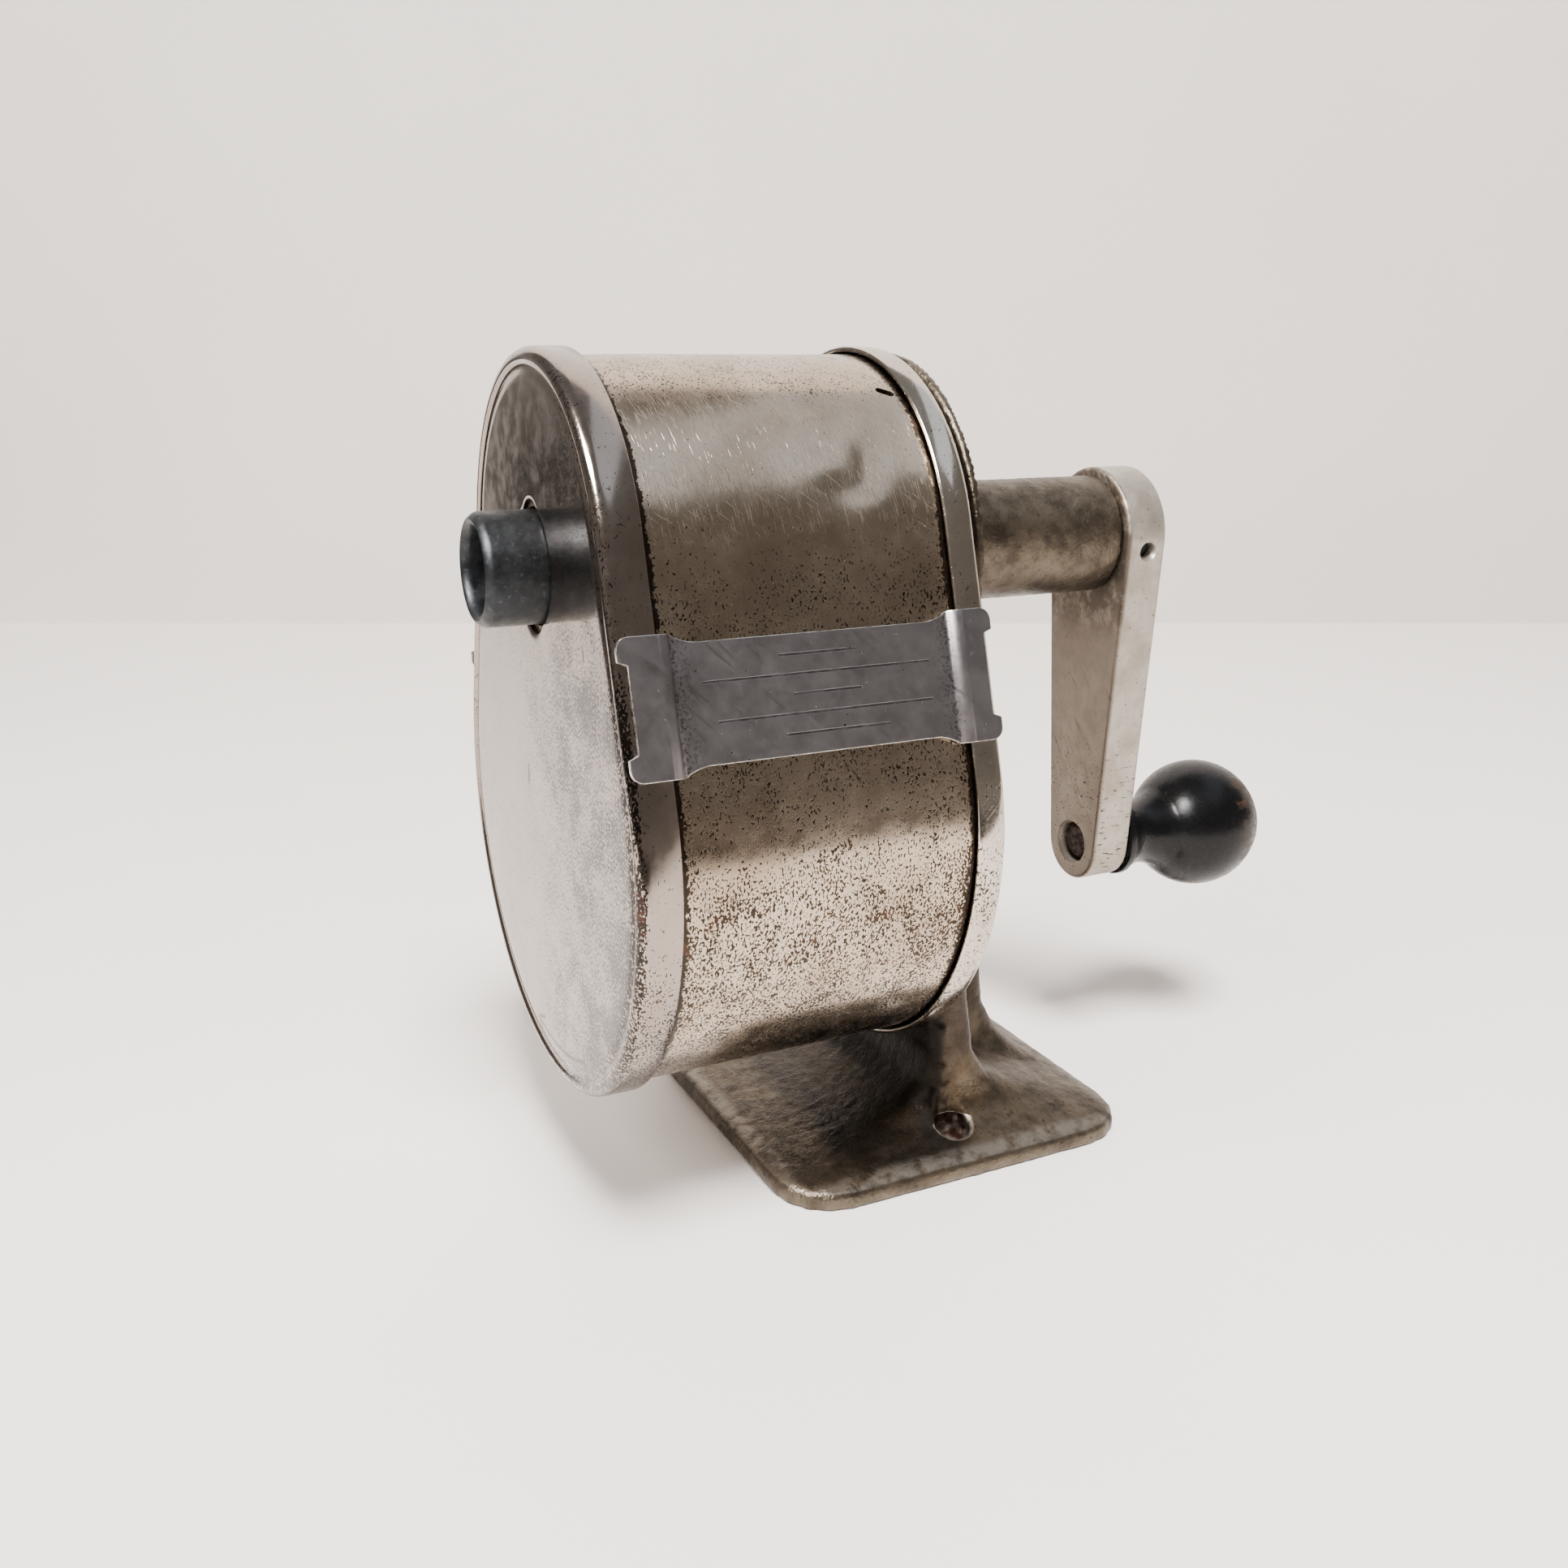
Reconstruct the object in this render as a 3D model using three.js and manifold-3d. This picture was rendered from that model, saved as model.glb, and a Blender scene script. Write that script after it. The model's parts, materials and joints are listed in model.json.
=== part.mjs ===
// A desk pencil sharpener with a crank: a cast frame carries a removable egg-shaped shavings case,
// and two milled cutters roll round inside a fixed ring gear when the crank is turned.
//
// Millimetres, +Z up. The origin is the middle of the base's flat underside, +Y points to the crank
// and -Y to the side where the pencil goes in. Pieces on the cutter axis are drawn in the "axis
// frame": x to the right, y down and z along +Y, with z = 0 above the origin.
import * as THREE from 'three';
import { mergeVertices } from 'three/addons/utils/BufferGeometryUtils.js';
import Module from 'manifold-3d';

const wasm = await Module();
wasm.setup();

// ---------------------------------------------------------------- driving dimensions
const AXIS_HEIGHT = 75.1;
const GAP = 0.3;

// case: the outline is two arcs joined by straight flanks
const TOP_RADIUS = 24.6;
const TOP_DROP = 0.95;
const LOW_RADIUS = 32.6;
const LOW_DROP = 29.4;
const CASE_FRONT = -46.0;
const CASE_REAR = -3.1;
const SHEET = 0.6;
const FRONT_FLANGE = 4.65;
const REAR_FLANGE = 3.8;
const RIM_ROUND = 0.8;
const RIM_SOFT = 0.25;
const DRUM_STEP = 0.9;
const CASE_OPENING = 20.0;

// pencil guide
const GUIDE_RADIUS = 6.35;
const GUIDE_BORE = 4.8;
const GUIDE_FRONT = -52.6;
const GUIDE_REAR = -44.2;
const GUIDE_HOLE = 6.8;
const GUIDE_NOTCH = 3.0;
const GUIDE_NOTCH_PLACE = 5.25;
const GUIDE_LIP = 0.7;
const GUIDE_BORE_LIP = 0.5;
const LUG_REACH = 8.0;
const LUG_ROOT = 5.4;
const LUG_HALF = 2.2;
const LUG_THICK = 0.55;
const WASHER_RADIUS = 9.0;
const WASHER_THICK = 0.4;

// straps
const STRAP_THICK = 0.6;
const STRAP_GAP = 0.2;
const STRAP_MIDDLE = 17.2;
const STRAP_END_HALF = 7.15;
const STRAP_WAIST_HALF = 6.25;
const STRAP_NOTCH_HALF = 4.4;
const STRAP_NOTCH_DEPTH = 1.0;
const STRAP_FRONT = CASE_FRONT + 0.1;
const STRAP_REAR = CASE_REAR - 0.2;
const STRAP_CORNER = 1.3;
const STRAP_SHOULDER = 2.2;
const SHOULDER_INSET = 0.3;
const SHOULDER_CORNER = 0.9;
const WAIST_CORNER = 0.1;

// frame casting
const BASE_SIDE = 49.2;
const BASE_CORNER = 7.7;
const BASE_EDGE = 2.3;
const COLUMN_HALF = 16;
const SCREW_HOLE_X = 18.3;
const SCREW_HOLE_RADIUS = 2.3;
const SCREW_HOLE_TOP = 16;
const COLUMN_FRONT = -1.7;
const HEAD_FRONT = -2.2;
const HEAD_REAR = -0.9;
const HEAD_RADIUS = 22.9;
const HEAD_CHAMFER = 0.3;
const HEAD_ROUND = 0.7;
const BOSS_RADIUS = 19.4;
const BOSS_FRONT = -13.0;
const BOSS_BORE = 13.3;
const TUBE_RADIUS = 7.5;
const TUBE_REAR = 29.8;
const TUBE_CHAMFER = 0.3;

// levels of the foot and column: [z, half width in x, y at the front, y at the back, corner]
const COLUMN_LEVELS = [
  [3.6, 20.4, -17, 20, 7],
  [4.7, 18.2, -10, 16, 6],
  [6.3, 16.9, -5.2, 11, 4],
  [8.6, COLUMN_HALF + 0.2, -2.7, 7.2, 2.4],
  [12, COLUMN_HALF, COLUMN_FRONT, 5, 1.6],
  [20, COLUMN_HALF - 0.8, COLUMN_FRONT, 4.2, 1.4],
  [36, 13, COLUMN_FRONT, 4, 1.4],
  [56, 10, COLUMN_FRONT, 4, 1.4],
  [AXIS_HEIGHT - 3, 7.6, COLUMN_FRONT, 3.6, 1.4],
];

// levels of the rib behind the column, in the same order
const RIB_LEVELS = [
  [3, 9, 0, 22, 3],
  [5, 6.2, 0, 19, 3],
  [8, 4.6, 0, 16.4, 2.4],
  [12, 3.9, 0, 14.4, 2],
  [30, 3.5, 0, 12.6, 1.8],
  [70, 3.5, 0, 12.0, 1.8],
];

// rings and washers round the axis
const SPRING_THICK = 0.4;
const SPRING_INSET = 1.2;
const THRUST_RADIUS = 7.4;
const THRUST_THICK = 0.7;

// crank
const SHAFT_RADIUS = 3.2;
const SHAFT_CLEARANCE = 0.1;
const SPIGOT_RADIUS = 1.9;
const ARM_FRONT = 30.1;
const ARM_REAR = 36.0;
const ARM_HUB = 8.6;
const ARM_TIP = 5.2;
const THROW = 43.1;
const SET_SCREW_ANGLE = 0.19;
const SET_SCREW_RADIUS = 0.95;
const SET_SCREW_HOLE = 1.1;
const SET_SCREW_SUNK = 1.3;
const SET_SCREW_PLACE = (ARM_FRONT + ARM_REAR) / 2 + 0.2;
const ARM_BEVEL = 0.5;
const RIVET_RADIUS = 1.7;
const RIVET_HEAD = 2.55;
const RIVET_RECESS = 2.85;
const RIVET_RECESS_DEPTH = 2.1;
const KNOB_RADIUS = 9.15;
const KNOB_CENTRE = 51.8;
const KNOB_FRONT = ARM_REAR + GAP;
const KNOB_REAR = KNOB_CENTRE + KNOB_RADIUS - 0.9;
const KNOB_POCKET = KNOB_REAR - 1.6;
const KNOB_NECK = 5.3;
// [radius, distance from the knob's front] of its foot and neck
const KNOB_FOOT = [[5.4, 0], [5.5, 1.0], [4.9, 2.2], [4.35, 4.0], [4.5, 5.8]];

// cutter head: every gear and cutter axis points to one apex on the crank axis
const APEX = 16.9;
const TILT = THREE.MathUtils.degToRad(10.5);
const RING_TEETH = 22;
const PINION_TEETH = 10;
const CONE_DISTANCE = 28.2;
const TOOTH_HEIGHT = 0.8;
const RING_OUTER = 13.0;
const RING_FRONT = -12.3;
const RING_REAR = -7.3;
const PINION_NEAR = 25.7;
const PINION_FAR = 30.1;
const PINION_HUB = 32.2;
const CUTTER_NEAR = 32.6;
const CUTTER_FAR = 55.6;
const CUTTER_RADIUS = 5.6;
const CUTTER_ROOT = 4.75;
const CUTTER_TEETH = 12;
const CUTTER_TWIST = 1.9;
const PIN_RADIUS = 1.2;
const PIN_NEAR = 21.3;
const PIN_FAR = 60.4;
const CARRIER_DISC = 8.2;
const CARRIER_DISC_FRONT = -6.6;
const CARRIER_DISC_REAR = -3.4;
const CARRIER_RING = 15.6;
const CARRIER_RING_FRONT = -42.9;
const CARRIER_RING_REAR = -39.3;
const CARRIER_MOUTH = 5.3;
const CARRIER_ARM_HALF = 4.2;
const CARRIER_BAR_HALF = 5;
const CARRIER_ARM_NEAR = 5.5;
const CARRIER_ARM_FAR = 9.4;
const PINION_HUB_RADIUS = 3.3;
const CUTTER_STEPS = 9;

// ---------------------------------------------------------------- helpers
// A closed geometry as a solid for cutting and joining.
function solid(geometry) {
  const bare = geometry.index ? geometry.toNonIndexed() : geometry.clone();
  bare.deleteAttribute('normal');
  bare.deleteAttribute('uv');
  const merged = mergeVertices(bare, 1e-4);
  const vertProperties = new Float32Array(merged.attributes.position.array);
  const triVerts = new Uint32Array(merged.index.array);
  return new wasm.Manifold(new wasm.Mesh({ numProp: 3, vertProperties, triVerts }));
}

function geometryOf(body) {
  const mesh = body.getMesh();
  const geometry = new THREE.BufferGeometry();
  geometry.setAttribute('position', new THREE.BufferAttribute(new Float32Array(mesh.vertProperties), 3));
  geometry.setIndex(new THREE.BufferAttribute(new Uint32Array(mesh.triVerts), 1));
  const flat = geometry.toNonIndexed();
  flat.computeVertexNormals();
  return flat;
}

function join(...geometries) {
  return geometries.map(solid).reduce((sum, next) => sum.add(next));
}

// A closed solid through rings of equal point counts; each ring lies at its own z, rings run
// towards +z and points run counterclockwise seen from +z.
function loft(rings) {
  const count = rings[0].points.length;
  const positions = [];
  const triangles = [];
  for (const ring of rings) {
    for (const point of ring.points) {
      positions.push(point.x, point.y, ring.z);
    }
  }
  for (let i = 0; i + 1 < rings.length; i += 1) {
    for (let j = 0; j < count; j += 1) {
      const a = i * count + j;
      const b = i * count + (j + 1) % count;
      triangles.push(a, b, b + count, a, b + count, a + count);
    }
  }
  const first = THREE.ShapeUtils.triangulateShape(rings[0].points, []);
  const last = THREE.ShapeUtils.triangulateShape(rings.at(-1).points, []);
  const top = (rings.length - 1) * count;
  for (const [a, b, c] of first) {
    triangles.push(a, c, b);
  }
  for (const [a, b, c] of last) {
    triangles.push(top + a, top + b, top + c);
  }
  const geometry = new THREE.BufferGeometry();
  geometry.setAttribute('position', new THREE.Float32BufferAttribute(positions, 3));
  geometry.setIndex(triangles);
  return geometry;
}

// Points of an arc, both ends included.
function arc(x, y, radius, start, end, steps) {
  const points = [];
  for (let i = 0; i <= steps; i += 1) {
    const angle = start + (end - start) * i / steps;
    points.push(new THREE.Vector2(x + radius * Math.cos(angle), y + radius * Math.sin(angle)));
  }
  return points;
}

function roundedRectangle(x0, x1, y0, y1, corner, steps = 4) {
  const quarter = Math.PI / 2;
  return [
    ...arc(x1 - corner, y1 - corner, corner, 0, quarter, steps),
    ...arc(x0 + corner, y1 - corner, corner, quarter, 2 * quarter, steps),
    ...arc(x0 + corner, y0 + corner, corner, 2 * quarter, 3 * quarter, steps),
    ...arc(x1 - corner, y0 + corner, corner, 3 * quarter, 4 * quarter, steps),
  ];
}

// A solid of revolution about z from [radius, z] pairs that start and end on the axis
// or close on themselves.
function turned(profile, segments = 32) {
  const points = profile.map(([radius, z]) => new THREE.Vector2(radius, z));
  const geometry = new THREE.LatheGeometry(points, segments);
  geometry.rotateX(Math.PI / 2);
  return geometry;
}

function rod(radius, z0, z1, segments = 32) {
  return turned([[0, z0], [radius, z0], [radius, z1], [0, z1]], segments);
}

function tubeBetween(inner, outer, z0, z1, segments = 32) {
  const profile = [[inner, z0], [outer, z0], [outer, z1], [inner, z1], [inner, z0]];
  return turned(profile, segments);
}

function block(x0, x1, y0, y1, z0, z1) {
  const geometry = new THREE.BoxGeometry(x1 - x0, y1 - y0, z1 - z0);
  geometry.translate((x0 + x1) / 2, (y0 + y1) / 2, (z0 + z1) / 2);
  return geometry;
}

function piece(name, shape, colour, roughness, metalness) {
  const geometry = shape.isBufferGeometry ? shape : geometryOf(shape);
  const material = new THREE.MeshStandardMaterial({ color: colour, roughness, metalness });
  const mesh = new THREE.Mesh(geometry, material);
  mesh.name = name;
  return mesh;
}

const NICKEL = [0xa9a195, 0.35, 0.9];
const STRAP_STEEL = [0x57555a, 0.5, 0.8];
const BLUED_STEEL = [0x2c3236, 0.4, 0.8];
const CAST_NICKEL = [0x6f6558, 0.55, 0.8];
const PALE_METAL = [0xb9b5ae, 0.45, 0.8];
const BRIGHT_STEEL = [0x8f8f90, 0.3, 0.9];
const CUTTER_STEEL = [0x5e5f63, 0.4, 0.9];
const BLACK_WOOD = [0x14110f, 0.25, 0.0];

// ---------------------------------------------------------------- case outline
// The lean of the straight flanks, which touch both arcs.
const LEAN = Math.asin((LOW_RADIUS - TOP_RADIUS) / (LOW_DROP - TOP_DROP));

function eggOutline(offset) {
  const low = arc(0, LOW_DROP, LOW_RADIUS + offset, -LEAN, Math.PI + LEAN, 26);
  const top = arc(0, TOP_DROP, TOP_RADIUS + offset, Math.PI + LEAN, 2 * Math.PI - LEAN, 20);
  return [...low, ...top];
}

function eggBlock(sections) {
  return loft(sections.map(([z, offset]) => ({ z, points: eggOutline(offset) })));
}

function frontCap() {
  const flangeEnd = CASE_FRONT + FRONT_FLANGE;
  const outer = eggBlock([
    [CASE_FRONT, -RIM_ROUND],
    [CASE_FRONT + RIM_SOFT, -RIM_SOFT],
    [CASE_FRONT + RIM_ROUND, 0],
    [flangeEnd, 0],
  ]);
  const inner = eggBlock([[CASE_FRONT + SHEET, -SHEET], [flangeEnd + 1, -SHEET]]);
  const hole = rod(GUIDE_HOLE, CASE_FRONT - 1, CASE_FRONT + 2, 36);
  let cap = solid(outer).subtract(solid(inner)).subtract(solid(hole));
  for (const side of [-1, 1]) {
    const notch = rod(GUIDE_NOTCH, CASE_FRONT - 1, CASE_FRONT + 2, 24);
    notch.translate(0, side * GUIDE_NOTCH_PLACE, 0);
    cap = cap.subtract(solid(notch));
  }
  return cap;
}

function rearCap() {
  const flangeStart = CASE_REAR - REAR_FLANGE;
  const outer = eggBlock([
    [flangeStart, 0],
    [CASE_REAR - RIM_ROUND, 0],
    [CASE_REAR - RIM_SOFT, -RIM_SOFT],
    [CASE_REAR, -RIM_ROUND],
  ]);
  const inner = eggBlock([[flangeStart - 1, -SHEET], [CASE_REAR - SHEET, -SHEET]]);
  const opening = rod(CASE_OPENING, CASE_REAR - 2, CASE_REAR + 1, 44);
  return solid(outer).subtract(solid(inner)).subtract(solid(opening));
}

function drum() {
  const front = CASE_FRONT + SHEET + GAP;
  const rear = CASE_REAR - SHEET - GAP;
  const outer = eggBlock([[front, -DRUM_STEP], [rear, -DRUM_STEP]]);
  const inner = eggBlock([[front - 1, -DRUM_STEP - SHEET], [rear + 1, -DRUM_STEP - SHEET]]);
  return solid(outer).subtract(solid(inner));
}

// ---------------------------------------------------------------- straps
// Drawn flat: x stands out from the flank, y runs down it, z runs along the case. The ends lie on
// the cap flanges and are notched, and the waist steps down to the drum.
function strapPlate(x0, z0, z1, half, corner) {
  const shape = new THREE.Shape(roundedRectangle(z0, z1, -half, half, corner, 3));
  const geometry = new THREE.ExtrudeGeometry(shape, { depth: STRAP_THICK, bevelEnabled: false });
  geometry.applyMatrix4(new THREE.Matrix4().set(0, 0, 1, x0, 0, -1, 0, 0, 1, 0, 0, 0, 0, 0, 0, 1));
  return geometry;
}

function strap() {
  const high = STRAP_GAP;
  const low = STRAP_GAP - DRUM_STEP;
  const top = STRAP_GAP + STRAP_THICK;
  const frontStep = CASE_FRONT + FRONT_FLANGE + STRAP_GAP;
  const rearStep = CASE_REAR - REAR_FLANGE - STRAP_GAP;
  const shoulderHalf = STRAP_END_HALF - SHOULDER_INSET;
  const riserHalf = STRAP_END_HALF - 1;
  const plate = join(
    strapPlate(high, STRAP_FRONT, frontStep + STRAP_THICK, STRAP_END_HALF, STRAP_CORNER),
    strapPlate(high, rearStep - STRAP_THICK, STRAP_REAR, STRAP_END_HALF, STRAP_CORNER),
    strapPlate(low, frontStep, frontStep + STRAP_SHOULDER, shoulderHalf, SHOULDER_CORNER),
    strapPlate(low, rearStep - STRAP_SHOULDER, rearStep, shoulderHalf, SHOULDER_CORNER),
    strapPlate(low, frontStep, rearStep, STRAP_WAIST_HALF, WAIST_CORNER),
    block(low, top, -riserHalf, riserHalf, frontStep, frontStep + STRAP_THICK),
    block(low, top, -riserHalf, riserHalf, rearStep - STRAP_THICK, rearStep),
  );
  const notched = (z0, z1) => solid(block(low, top + 1, -STRAP_NOTCH_HALF, STRAP_NOTCH_HALF, z0, z1));
  return plate
    .subtract(notched(STRAP_FRONT - 1, STRAP_FRONT + STRAP_NOTCH_DEPTH))
    .subtract(notched(STRAP_REAR - STRAP_NOTCH_DEPTH, STRAP_REAR + 1));
}

// ---------------------------------------------------------------- pencil guide
function pencilGuide() {
  const body = turned([
    [GUIDE_BORE, GUIDE_REAR],
    [GUIDE_RADIUS, GUIDE_REAR],
    [GUIDE_RADIUS, GUIDE_FRONT + GUIDE_LIP],
    [GUIDE_RADIUS - GUIDE_LIP, GUIDE_FRONT],
    [GUIDE_BORE + GUIDE_BORE_LIP, GUIDE_FRONT],
    [GUIDE_BORE, GUIDE_FRONT + GUIDE_BORE_LIP],
    [GUIDE_BORE, GUIDE_REAR],
  ].reverse(), 36);
  let guide = solid(body);
  for (const side of [-1, 1]) {
    const lug = block(LUG_ROOT, LUG_REACH, -LUG_HALF, LUG_HALF, GUIDE_REAR - LUG_THICK, GUIDE_REAR);
    if (side < 0) {
      lug.rotateZ(Math.PI);
    }
    guide = guide.add(solid(lug));
  }
  return guide;
}

function guideWasher() {
  const front = CASE_FRONT + SHEET + GAP / 2;
  return tubeBetween(GUIDE_RADIUS + GAP, WASHER_RADIUS, front, front + WASHER_THICK, 36);
}

// ---------------------------------------------------------------- frame casting
// Turns a geometry of the axis frame into the object's frame.
function fromAxisFrame(geometry) {
  geometry.rotateX(-Math.PI / 2);
  geometry.translate(0, 0, AXIS_HEIGHT);
  return geometry;
}

// A stack of rounded rectangles, each [z, half width in x, y at the front, y at the back, corner].
function stack(levels) {
  return loft(levels.map(([z, half, y0, y1, corner]) => ({
    z,
    points: roundedRectangle(-half, half, y0, y1, corner),
  })));
}

function baseFrame() {
  const half = BASE_SIDE / 2;
  const plate = stack([
    [0, half, -half, half, BASE_CORNER],
    [BASE_EDGE - 0.6, half, -half, half, BASE_CORNER],
    [BASE_EDGE + 0.2, half - 0.8, -half + 0.8, half - 0.8, BASE_CORNER - 0.8],
    ...COLUMN_LEVELS,
  ]);
  const rib = stack(RIB_LEVELS);
  const head = fromAxisFrame(turned([
    [0, HEAD_FRONT],
    [HEAD_RADIUS - HEAD_CHAMFER, HEAD_FRONT],
    [HEAD_RADIUS, HEAD_FRONT + HEAD_CHAMFER],
    [HEAD_RADIUS, HEAD_REAR - HEAD_ROUND],
    [HEAD_RADIUS - HEAD_ROUND, HEAD_REAR],
    [TUBE_RADIUS + 3.5, HEAD_REAR + 0.5],
    [TUBE_RADIUS + 1.2, HEAD_REAR + 1.8],
    [TUBE_RADIUS, HEAD_REAR + 4],
    [TUBE_RADIUS, TUBE_REAR - TUBE_CHAMFER],
    [TUBE_RADIUS - TUBE_CHAMFER, TUBE_REAR],
    [0, TUBE_REAR],
  ], 44));
  const boss = fromAxisFrame(tubeBetween(BOSS_BORE, BOSS_RADIUS, BOSS_FRONT, HEAD_FRONT + 1, 44));
  const bore = fromAxisFrame(rod(SHAFT_RADIUS + SHAFT_CLEARANCE, HEAD_FRONT - 1, TUBE_REAR + 1, 28));
  let frame = join(plate, rib, head, boss).subtract(solid(bore));
  for (const side of [-1, 1]) {
    const hole = rod(SCREW_HOLE_RADIUS, -1, SCREW_HOLE_TOP, 20);
    hole.translate(side * SCREW_HOLE_X, 0, 0);
    frame = frame.subtract(solid(hole));
  }
  return frame;
}

function springRing() {
  const rear = HEAD_FRONT - GAP;
  return tubeBetween(BOSS_RADIUS + GAP, HEAD_RADIUS - SPRING_INSET, rear - SPRING_THICK, rear, 44);
}

// ---------------------------------------------------------------- gears
// The pitch cones of the ring and the pinions meet at the apex, and the pinion axes tilt by TILT.
const PINION_CONE = Math.atan(Math.sin(TILT) / (RING_TEETH / PINION_TEETH - Math.cos(TILT)));
const RING_CONE = PINION_CONE + TILT;
const RING_PITCH = CONE_DISTANCE * Math.sin(RING_CONE);
const PINION_PITCH = CONE_DISTANCE * Math.sin(PINION_CONE);
const GEAR_MODULE = 2 * PINION_PITCH / PINION_TEETH;

// Teeth as flat-topped wedges; widths are shares of the tooth pitch at the root and at the tip.
function toothed(teeth, rootRadius, tipRadius, rootShare, tipShare, scale) {
  const points = [];
  for (let i = 0; i < teeth; i += 1) {
    const centre = 2 * Math.PI * i / teeth;
    const pitch = 2 * Math.PI / teeth;
    const corners = [
      [rootRadius, -rootShare / 2],
      [tipRadius, -tipShare / 2],
      [tipRadius, tipShare / 2],
      [rootRadius, rootShare / 2],
    ];
    for (const [radius, share] of corners) {
      const angle = centre + share * pitch;
      points.push(new THREE.Vector2(scale * radius * Math.cos(angle), scale * radius * Math.sin(angle)));
    }
  }
  return points;
}

function ringGear() {
  const middle = CONE_DISTANCE * Math.cos(RING_CONE);
  const levels = [RING_FRONT - 1, RING_REAR + 1].map((z) => ({
    z,
    points: toothed(RING_TEETH, RING_PITCH - TOOTH_HEIGHT * GEAR_MODULE,
      RING_PITCH + (TOOTH_HEIGHT + 0.4) * GEAR_MODULE, 0.8, 0.4, (APEX - z) / middle),
  }));
  const blank = rod(RING_OUTER, RING_FRONT, RING_REAR, 44);
  return solid(blank).subtract(solid(loft(levels)));
}

// Drawn about its own axis with the apex at z = 0 and the cutter towards -z.
function pinion() {
  const middle = CONE_DISTANCE * Math.cos(PINION_CONE);
  const levels = [-PINION_FAR, -PINION_NEAR].map((z) => ({
    z,
    points: toothed(PINION_TEETH, PINION_PITCH - TOOTH_HEIGHT * GEAR_MODULE,
      PINION_PITCH + TOOTH_HEIGHT * GEAR_MODULE, 0.6, 0.2, -z / middle),
  }));
  const hub = rod(PINION_HUB_RADIUS, -PINION_HUB, -PINION_FAR + 0.5, 20);
  const bore = rod(PIN_RADIUS + SHAFT_CLEARANCE, -PINION_HUB - 1, -PINION_NEAR + 1, 20);
  return join(loft(levels), hub).subtract(solid(bore));
}

// ---------------------------------------------------------------- cutters and carrier
function cutter() {
  const steps = CUTTER_STEPS;
  const pitch = 2 * Math.PI / CUTTER_TEETH;
  const levels = [];
  for (let i = 0; i <= steps; i += 1) {
    const points = [];
    const turn = CUTTER_TWIST * i / steps;
    for (let tooth = 0; tooth < CUTTER_TEETH; tooth += 1) {
      for (const [radius, share] of [[CUTTER_ROOT, 0], [CUTTER_RADIUS, 0.1], [CUTTER_ROOT + 0.35, 0.6]]) {
        const angle = turn + (tooth + share) * pitch;
        points.push(new THREE.Vector2(radius * Math.cos(angle), radius * Math.sin(angle)));
      }
    }
    levels.push({ z: -CUTTER_FAR + (CUTTER_FAR - CUTTER_NEAR) * i / steps, points });
  }
  const bore = rod(PIN_RADIUS + SHAFT_CLEARANCE, -CUTTER_FAR - 1, -CUTTER_NEAR + 1, 20);
  return solid(loft(levels)).subtract(solid(bore));
}

function cutterPin(radius = PIN_RADIUS, extra = 0) {
  return rod(radius, -PIN_FAR - extra, -PIN_NEAR + extra, 20);
}

function tilted(geometry, side) {
  geometry.rotateY(-side * TILT);
  geometry.translate(0, 0, APEX);
  return geometry;
}

function cutterCarrier() {
  const half = CARRIER_ARM_HALF;
  const rearArm = join(
    block(-half, half, CARRIER_ARM_NEAR, CARRIER_ARM_FAR, BOSS_FRONT - 1, CARRIER_DISC_REAR - 0.5),
    block(-half, half, -CARRIER_ARM_FAR, -CARRIER_ARM_NEAR, BOSS_FRONT - 1, CARRIER_DISC_REAR - 0.5),
  );
  const room = (RING_PITCH - TOOTH_HEIGHT * GEAR_MODULE) / (CONE_DISTANCE * Math.cos(RING_CONE)) - 0.02;
  const cone = turned([
    [0, BOSS_FRONT - 2],
    [room * (APEX - BOSS_FRONT + 2), BOSS_FRONT - 2],
    [room * APEX, 0],
    [0, 0],
  ]);
  let carrier = solid(rod(CARRIER_DISC, CARRIER_DISC_FRONT, CARRIER_DISC_REAR))
    .add(rearArm.intersect(solid(cone)))
    .add(solid(tubeBetween(CARRIER_MOUTH, CARRIER_RING, CARRIER_RING_FRONT, CARRIER_RING_REAR, 36)));
  for (const side of [-1, 1]) {
    const near = side > 0 ? CUTTER_RADIUS + GAP : -CARRIER_ARM_FAR;
    const far = side > 0 ? CARRIER_ARM_FAR : -CUTTER_RADIUS - GAP;
    const wide = CARRIER_BAR_HALF;
    carrier = carrier.add(solid(block(-wide, wide, near, far, CARRIER_RING_REAR - 1, BOSS_FRONT - GAP)));
    carrier = carrier.subtract(solid(tilted(cutterPin(PIN_RADIUS + SHAFT_CLEARANCE, 0.2), side)));
  }
  return carrier.subtract(solid(rod(SPIGOT_RADIUS + SHAFT_CLEARANCE, -8, 0, 24)));
}

// ---------------------------------------------------------------- crank
function crankShaft() {
  return turned([
    [0, CARRIER_DISC_FRONT - 0.6],
    [SPIGOT_RADIUS + 0.4, CARRIER_DISC_FRONT - 0.6],
    [SPIGOT_RADIUS + 0.4, CARRIER_DISC_FRONT - 0.1],
    [SPIGOT_RADIUS, CARRIER_DISC_FRONT - 0.1],
    [SPIGOT_RADIUS, CARRIER_DISC_REAR + GAP],
    [SHAFT_RADIUS, CARRIER_DISC_REAR + GAP],
    [SHAFT_RADIUS, ARM_REAR - 0.2],
    [SHAFT_RADIUS - 0.6, ARM_REAR + 0.5],
    [SHAFT_RADIUS - 1.8, ARM_REAR + 0.9],
    [0, ARM_REAR + 1.0],
  ], 28);
}

function thrustWasher() {
  const rear = HEAD_FRONT - GAP;
  return tubeBetween(SHAFT_RADIUS + GAP, THRUST_RADIUS, rear - THRUST_THICK, rear, 28);
}

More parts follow.
